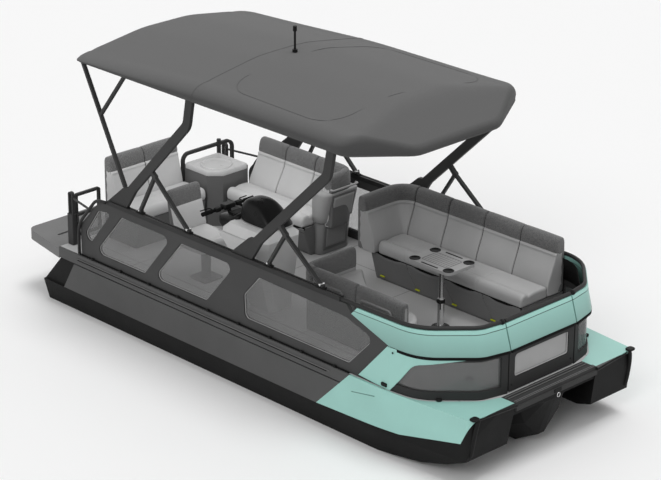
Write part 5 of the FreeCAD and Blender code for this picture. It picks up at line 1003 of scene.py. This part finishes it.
unit_line = Track([(-2.298, 0.5), (-2.298, 0.282, 0.03), (-1.943, 0.282, 0.03),
                   (-1.822, 0.403, 0.03), (-1.822, 0.758, 0.03), (-2.298, 0.758, 0.03),
                   (-2.298, 0.5)], 0.004)
unit_middle = Vector((-2.06, 0.52))
lofted("tray_top", [
    (height, [spot.lerp(unit_middle, inset / 0.24) for spot in unit_line.spread(96)])
    for inset, height in ((-0.004, 1.262), (-0.006, 1.268), (-0.006, 1.300), (0.000, 1.314),
                          (0.010, 1.319), (0.026, 1.317), (0.034, 1.309), (0.050, 1.306))], TRAY)
lathe("tray_dish", [(0.002, 1.298), (0.115, 1.299), (0.132, 1.303), (0.145, 1.312),
                    (0.155, 1.318), (0.166, 1.318), (0.172, 1.311), (0.174, 1.303)],
      (*unit_middle, 0.0), TRAY, sides=48)


# Bow: dark liners behind the fairing as painted shade, joints, beads, screws and clamps

DECK = 0.6905
# The liners are dark sheets behind the fairing: painted shade for its inside and its gaps.
SHADE_LINER = (-0.006, 0.0, 1.134, 1.374)  # a ribbon's near and far side of its line, foot and top
JOINT_BAND = (-0.012, 0.002, 1.104, 1.133)
WALL_FOOT = (0.0, 0.016, DECK, 0.7000)


def ribbon(name, line, band, sign=-1, start=0.0, body=ROOT, lean=0.0):
    """A dark strip along a starboard plan line or, with sign 1, its mirror, leaning in."""
    near, far, low, high = band
    length = line.length - start
    count = round(length / 0.03)
    rings = []
    for k in range(count + 1):
        ring = []
        for out, height in ((near, low), (far, low), (far - lean, high), (near - lean, high)):
            plan = line.beside(start + length * k / count, out)
            ring.append((plan.x, -sign * plan.y, height))
        rings.append(ring)
    piece(name, ring_mesh(name, rings), GAP, body)


def screw(name, centre, axis, body=ROOT, out=1):
    """A low domed screw head that faces along an axis."""
    dome = [(0.001, 0.0042), (0.005, 0.0040), (0.0085, 0.0028), (0.010, 0.0)]
    lathe(name, [(radius, out * height) for radius, height in dome], centre, TRIM, axis, body, 16)


bow_line = Track([(1.76, -1.222), (2.601, -1.187, 0.48), (3.012, -0.761, 0.24), (3.082, -0.468)])
shade_liner_line = Track([(2.27, -1.16), (2.55, -1.125, 0.48), (2.95, -0.72, 0.22), (3.02, -0.470)])
for side, sign in SIDES:
    ribbon(f"bow_shade_liner_{side}", shade_liner_line, SHADE_LINER, sign, lean=0.045)
    ribbon(f"bow_joint_{side}", bow_line, JOINT_BAND, sign, start=0.50)
    lathe(f"tube_clamp_{side}", [(0.019, -0.016), (0.026, -0.014), (0.027, 0.0), (0.026, 0.014),
                                 (0.019, 0.016)], (2.986, sign * 0.49, 1.397),
          ("rail_grey", trim_black), "Y")
    screw(f"cheek_screw_rear_{side}", (2.30, sign * 1.2095, 1.085), "Y", out=sign)
    tube(f"bow_lip_{side}", curve_points([(x, sign * y, 0.676) for x, y in (
        (3.276, 0.572), (3.258, 0.749), (3.236, 1.000), (3.222, 1.050))], 0.05), 0.008, TRIM)
    lathe(f"deck_cleat_{side}", [(0.002, 0.0255), (0.020, 0.0255), (0.028, 0.0205),
                                 (0.030, 0.0135), (0.026, 0.001)],
          (2.728, sign * 1.033, DECK), TRIM)
    # a darker mint line along the cap's slot: painted shade in the slot
    tube(f"cap_line_{side}", [(1.80, sign * 1.2405, 0.532), (2.10, sign * 1.2405, 0.586)], 0.0035,
         ("mint", mint_painted_shade), sides=6)
# the gate liner is painted shade behind the gate fairing's gaps
ribbon("gate_shade_liner", Track([(3.02, -0.432), (3.02, 0.432)]), SHADE_LINER, body="bow_gate", lean=0.07)
ribbon("gate_joint", Track([(3.083, -0.446), (3.083, 0.446)]), JOINT_BAND, body="bow_gate")
for number, (y, z) in enumerate(((-0.414, 0.765), (0.414, 0.765), (-0.414, 1.095),
                                 (0.414, 1.095)), start=1):
    screw(f"gate_screw_{number}", (3.0605, y, z), "X", "bow_gate")
tube("gate_window_bead", [(3.050, y, z) for y, z in rounded(-0.366, 0.366, 0.838, 1.064, 0.02)],
     0.005, ("pane_smoke", shell_mid), "bow_gate", closed=True, sides=8)
for number, (x, z) in enumerate(((3.112, 0.6985), (3.150, 0.6985), (3.222, 0.6990),
                                 (3.240, 0.6960)), start=1):
    tube(f"step_rib_{number}", [(x, -0.555, z), (x, 0.555, z)], 0.0035, ("black_trim", base_skin),
         sides=6)
slab("step_latch", rounded(-0.05, 0.05, 0.628, 0.668, 0.008), 3.266, 3.278, TRIM, plane="YZ")
tube("step_eye", [(3.280, 0.020 * math.cos(t), 0.602 + 0.020 * math.sin(t)) for t in turns(20)],
     0.0045, ("rail_grey", steel), closed=True, sides=8)


# Sides: window beads, lines along the band, and a dark foot with clips under the walls

def loose_parts(node):
    """The corner places of each separate part of a node's mesh."""
    work = bmesh.new()
    work.from_mesh(nodes[node].data)
    work.transform(nodes[node].matrix_world)
    bmesh.ops.remove_doubles(work, verts=work.verts, dist=1e-5)
    seen, groups = set(), []
    for first in work.verts:
        wait, group = [first], []
        while wait:
            here = wait.pop()
            if here not in seen:
                seen.add(here)
                group.append(here.co.copy())
                wait += [edge.other_vert(here) for edge in here.link_edges]
        if group:
            groups.append(group)
    work.free()
    return groups


def pane_beads(node):
    """A thin bead round the outer face of every pane of a node."""
    number = 0
    for group in loose_parts(node):
        reach = max(abs(spot.y) for spot in group)
        face = [spot for spot in group if abs(spot.y) > reach - 0.0005]
        centre = sum(face, Vector()) / len(face)
        face.sort(key=lambda spot: math.atan2(spot.z - centre.z, spot.x - centre.x))
        line = [face[0]]
        for spot in face[1:]:
            if (spot - line[-1]).length > 0.004:
                line.append(spot)
        if len(line) < 4:
            continue
        number += 1
        inner = [centre + (spot - centre) * (1 - 0.006 / (spot - centre).length) for spot in line]
        tube(f"{node}_bead_{number}", inner, 0.004, ("pane_smoke", shell_mid), closed=True, sides=6)


wall_line = Track([(-2.26, -1.203), (1.74, -1.203)])
for side, sign in SIDES:
    pane_beads(f"windows_{side}")
    # The black groove line under the ridge is painted shade in the groove.
    for name, end, out, z, radius, skin in (("ridge", 1.50, 1.2400, 0.642, 0.0045, base_skin),
                                            ("groove", 1.46, 1.2390, 0.628, 0.0040, gap_black)):
        tube(f"band_{name}_{side}", [(x, sign * out, z) for x in (-2.28, end)], radius,
             ("shell_grey", skin), sides=6)
    ribbon(f"wall_foot_{side}", wall_line, WALL_FOOT, sign)
    for number in range(9):
        x = -2.05 + 0.45 * number
        slab(f"wall_clip_{side}_{number + 1}",
             rounded(x - 0.016, x + 0.016, *sorted((sign * 1.204, sign * 1.232)), 0.004),
             DECK + 0.001, 0.711, TRIM, edge=0.003)


# Stern: the walls' rear edge tubes and the platform's hinge gap and edge

for side, sign in SIDES:
    tube(f"wall_edge_{side}", curve_points([(x, sign * 1.220, z) for x, z in (
        (-1.80, 1.405), (-1.955, 1.392), (-2.262, 1.035), (-2.262, 0.705))], 0.13, 12), 0.017,
        ("rail_grey", rail), sides=12)
tube("platform_gap", [(-2.615, y, 0.668) for y in (-1.02, 1.02)], 0.010, GAP, sides=8)
for side, sign in SIDES:
    tube(f"platform_edge_{side}", curve_points([(x, sign * y, 0.655) for x, y in (
        (-2.66, 1.205), (-3.235, 1.085), (-3.255, 0.60))], 0.10, 12), 0.011,
        ("platform_grey", trim_black), sides=8)


# Brackets where the struts stand on the rails, latches at the walls' ends, bow bumpers

def strut_feet(node):
    """The middles of the strut ends that stand on a top rail, from their lowest points."""
    spots = [nodes[node].matrix_world @ point.co for point in nodes[node].data.vertices]
    feet = []
    for spot in sorted((spot for spot in spots if spot.z < 1.46), key=lambda spot: spot.x):
        if feet and spot.x - feet[-1][-1].x < 0.05:
            feet[-1].append(spot)
        else:
            feet.append([spot])
    return [sum(foot, Vector()) / len(foot) for foot in feet]


FOOT_PIN = [(0.002, -0.032), (0.013, -0.031), (0.014, -0.024), (0.008, -0.022)]
FOOT_PIN += [(radius, -height) for radius, height in reversed(FOOT_PIN)]
for side, sign in SIDES:
    for number, foot in enumerate(strut_feet(f"top_struts_{side}"), start=1):
        slab(f"foot_plate_{side}_{number}",
             rounded(foot.x - 0.055, foot.x + 0.055, foot.y - 0.026, foot.y + 0.026, 0.012),
             1.424, 1.436, ("rail_grey", trim_black))
        lathe(f"foot_pin_{side}_{number}", FOOT_PIN, (foot.x, foot.y, 1.456),
              ("post_metal", steel), "Y", sides=16)
    slab(f"wall_latch_{side}", rounded(2.165, 2.235, 0.716, 0.752, 0.008),
         *sorted((sign * 1.202, sign * 1.224)), TRIM, plane="XZ")
    tube(f"bow_bumper_{side}", curve_points([(x, sign * y, z) for x, y, z in (
        (3.252, 1.062, 0.700), (3.240, 1.085, 0.600), (3.215, 1.095, 0.440),
        (3.185, 1.090, 0.290))], 0.10), 0.022, TRIM, sides=12, level=1)
    slab(f"bow_knob_{side}", rounded(3.190, 3.268, *sorted((sign * 1.050, sign * 1.140)), 0.03),
         DECK, 0.713, TRIM, edge=0.010)


# Table: cups with rings, framed centre, slots and the post's clamp

TABLE = 1.400  # its upper face
CUP = [(0.002, -0.0205), (0.036, -0.0205), (0.041, -0.016), (0.043, -0.0015), (0.045, 0.0035),
       (0.052, 0.0040), (0.056, 0.0015), (0.056, -0.0005)]
for number, (x, y) in enumerate(((1.387, 0.022), (1.387, 0.308), (1.833, 0.308),
                                 (1.833, 0.022)), start=1):
    lathe(f"cup_{number}", CUP, (x, y, TABLE), ("table_grey", trim_black))
frame_line = rounded(1.44, 1.78, 0.055, 0.275, 0.025)
tube("table_frame", [(x, y, TABLE + 0.0005) for x, y in frame_line], 0.003, TABLE_TRIM,
     closed=True, sides=8)
for number in range(9):
    x = 1.475 + 0.034 * number
    tube(f"table_rib_{number + 1}", [(x, y, TABLE + 0.0003) for y in (0.075, 0.255)], 0.0022,
         TABLE_TRIM, sides=6)
for number, y in enumerate((-0.008, 0.338), start=1):
    slab(f"table_slot_{number}", rounded(1.50, 1.72, y - 0.009, y + 0.009, 0.008),
         TABLE - 0.0010, TABLE + 0.0022, ("table_grey", gap_black), edge=0.001)
lathe("post_clamp", [(0.0345, 0.955), (0.041, 0.957), (0.042, 0.985), (0.0345, 0.992)],
      (1.61, 0.165, 0.0), POST_TRIM)
tube("post_lever", curve_points([(1.63, 0.13, 0.972), (1.66, 0.105, 0.968), (1.665, 0.10, 0.915)],
                                0.02), 0.006, POST_TRIM, sides=8)

# Bench: grab loops on the outer side of its back

for number, (start, end) in enumerate(((0.86, 1.28), (1.50, 1.92)), start=1):
    tube(f"bench_loop_{number}", curve_points([
        (start, -0.805, 1.17), (start, -0.838, 1.19), (start + 0.02, -0.842, 1.255),
        (end - 0.02, -0.842, 1.255), (end, -0.838, 1.19), (end, -0.805, 1.17)], 0.03),
        0.012, ("rail_grey", base_skin))


# Floor, light and the pale surround

FLOOR_HALF, FLOOR_LEVEL = 60.0, -0.002
floor_mesh = bpy.data.meshes.new("floor")
floor_mesh.from_pydata([(x * FLOOR_HALF, y * FLOOR_HALF, FLOOR_LEVEL)
                        for x, y in ((-1, -1), (1, -1), (1, 1), (-1, 1))], [], [(0, 1, 2, 3)])
floor = add_object("floor", floor_mesh)
floor_mesh.materials.append(Shader("floor_pale", 250, 0.9, Specular_IOR_Level=0.1).material)


def make_light(name, kind, direction, energy, **settings):
    """A light that shines from a direction."""
    data = bpy.data.lights.new(name, kind)
    data.energy = energy
    for key, value in settings.items():
        setattr(data, key, value)
    lamp = add_object(name, data)
    lamp.rotation_mode = "QUATERNION"
    lamp.rotation_quaternion = Vector(direction).to_track_quat("Z", "Y")
    return lamp


make_light("key_lamp", "SUN", (0.15, 0.10, 1.0), 1.15, angle=math.radians(24))
make_light("side_lamp", "SUN", (0.42, -0.85, 0.70), 0.62, angle=math.radians(20))
# A broad soft panel under the sun top, which the camera and the gloss don't see
shade_light = make_light("shade_light", "AREA", (0.05, -0.25, 1.0), 17.0, shape="RECTANGLE",
                         size=2.4, size_y=1.6)
shade_light.location = (-0.95, 0.05, 2.70)
shade_light.visible_camera = False
shade_light.visible_glossy = False

# The surround lights softly, and looks white to the camera and in glass and gloss
world = bpy.data.worlds.new("surround")
bpy.context.scene.world = world
world.use_nodes = True
tree = world.node_tree
tree.nodes.clear()
soft = add_node(tree, "ShaderNodeBackground", {"Color": WHITE, "Strength": 0.50})
white = add_node(tree, "ShaderNodeBackground", {"Color": WHITE, "Strength": 1.0})
rays = add_node(tree, "ShaderNodeLightPath").outputs
bent = add_node(tree, "ShaderNodeMath", {0: rays["Is Transmission Ray"], 1: rays["Is Glossy Ray"]},
                operation="MAXIMUM")
seen = add_node(tree, "ShaderNodeMath", {0: rays["Is Camera Ray"], 1: bent.outputs[0]},
                operation="MAXIMUM")
mix = add_node(tree, "ShaderNodeMixShader",
               {0: seen.outputs[0], 1: soft.outputs[0], 2: white.outputs[0]})
add_node(tree, "ShaderNodeOutputWorld", {"Surface": mix.outputs[0]})
bpy.context.scene.view_settings.view_transform = "Standard"
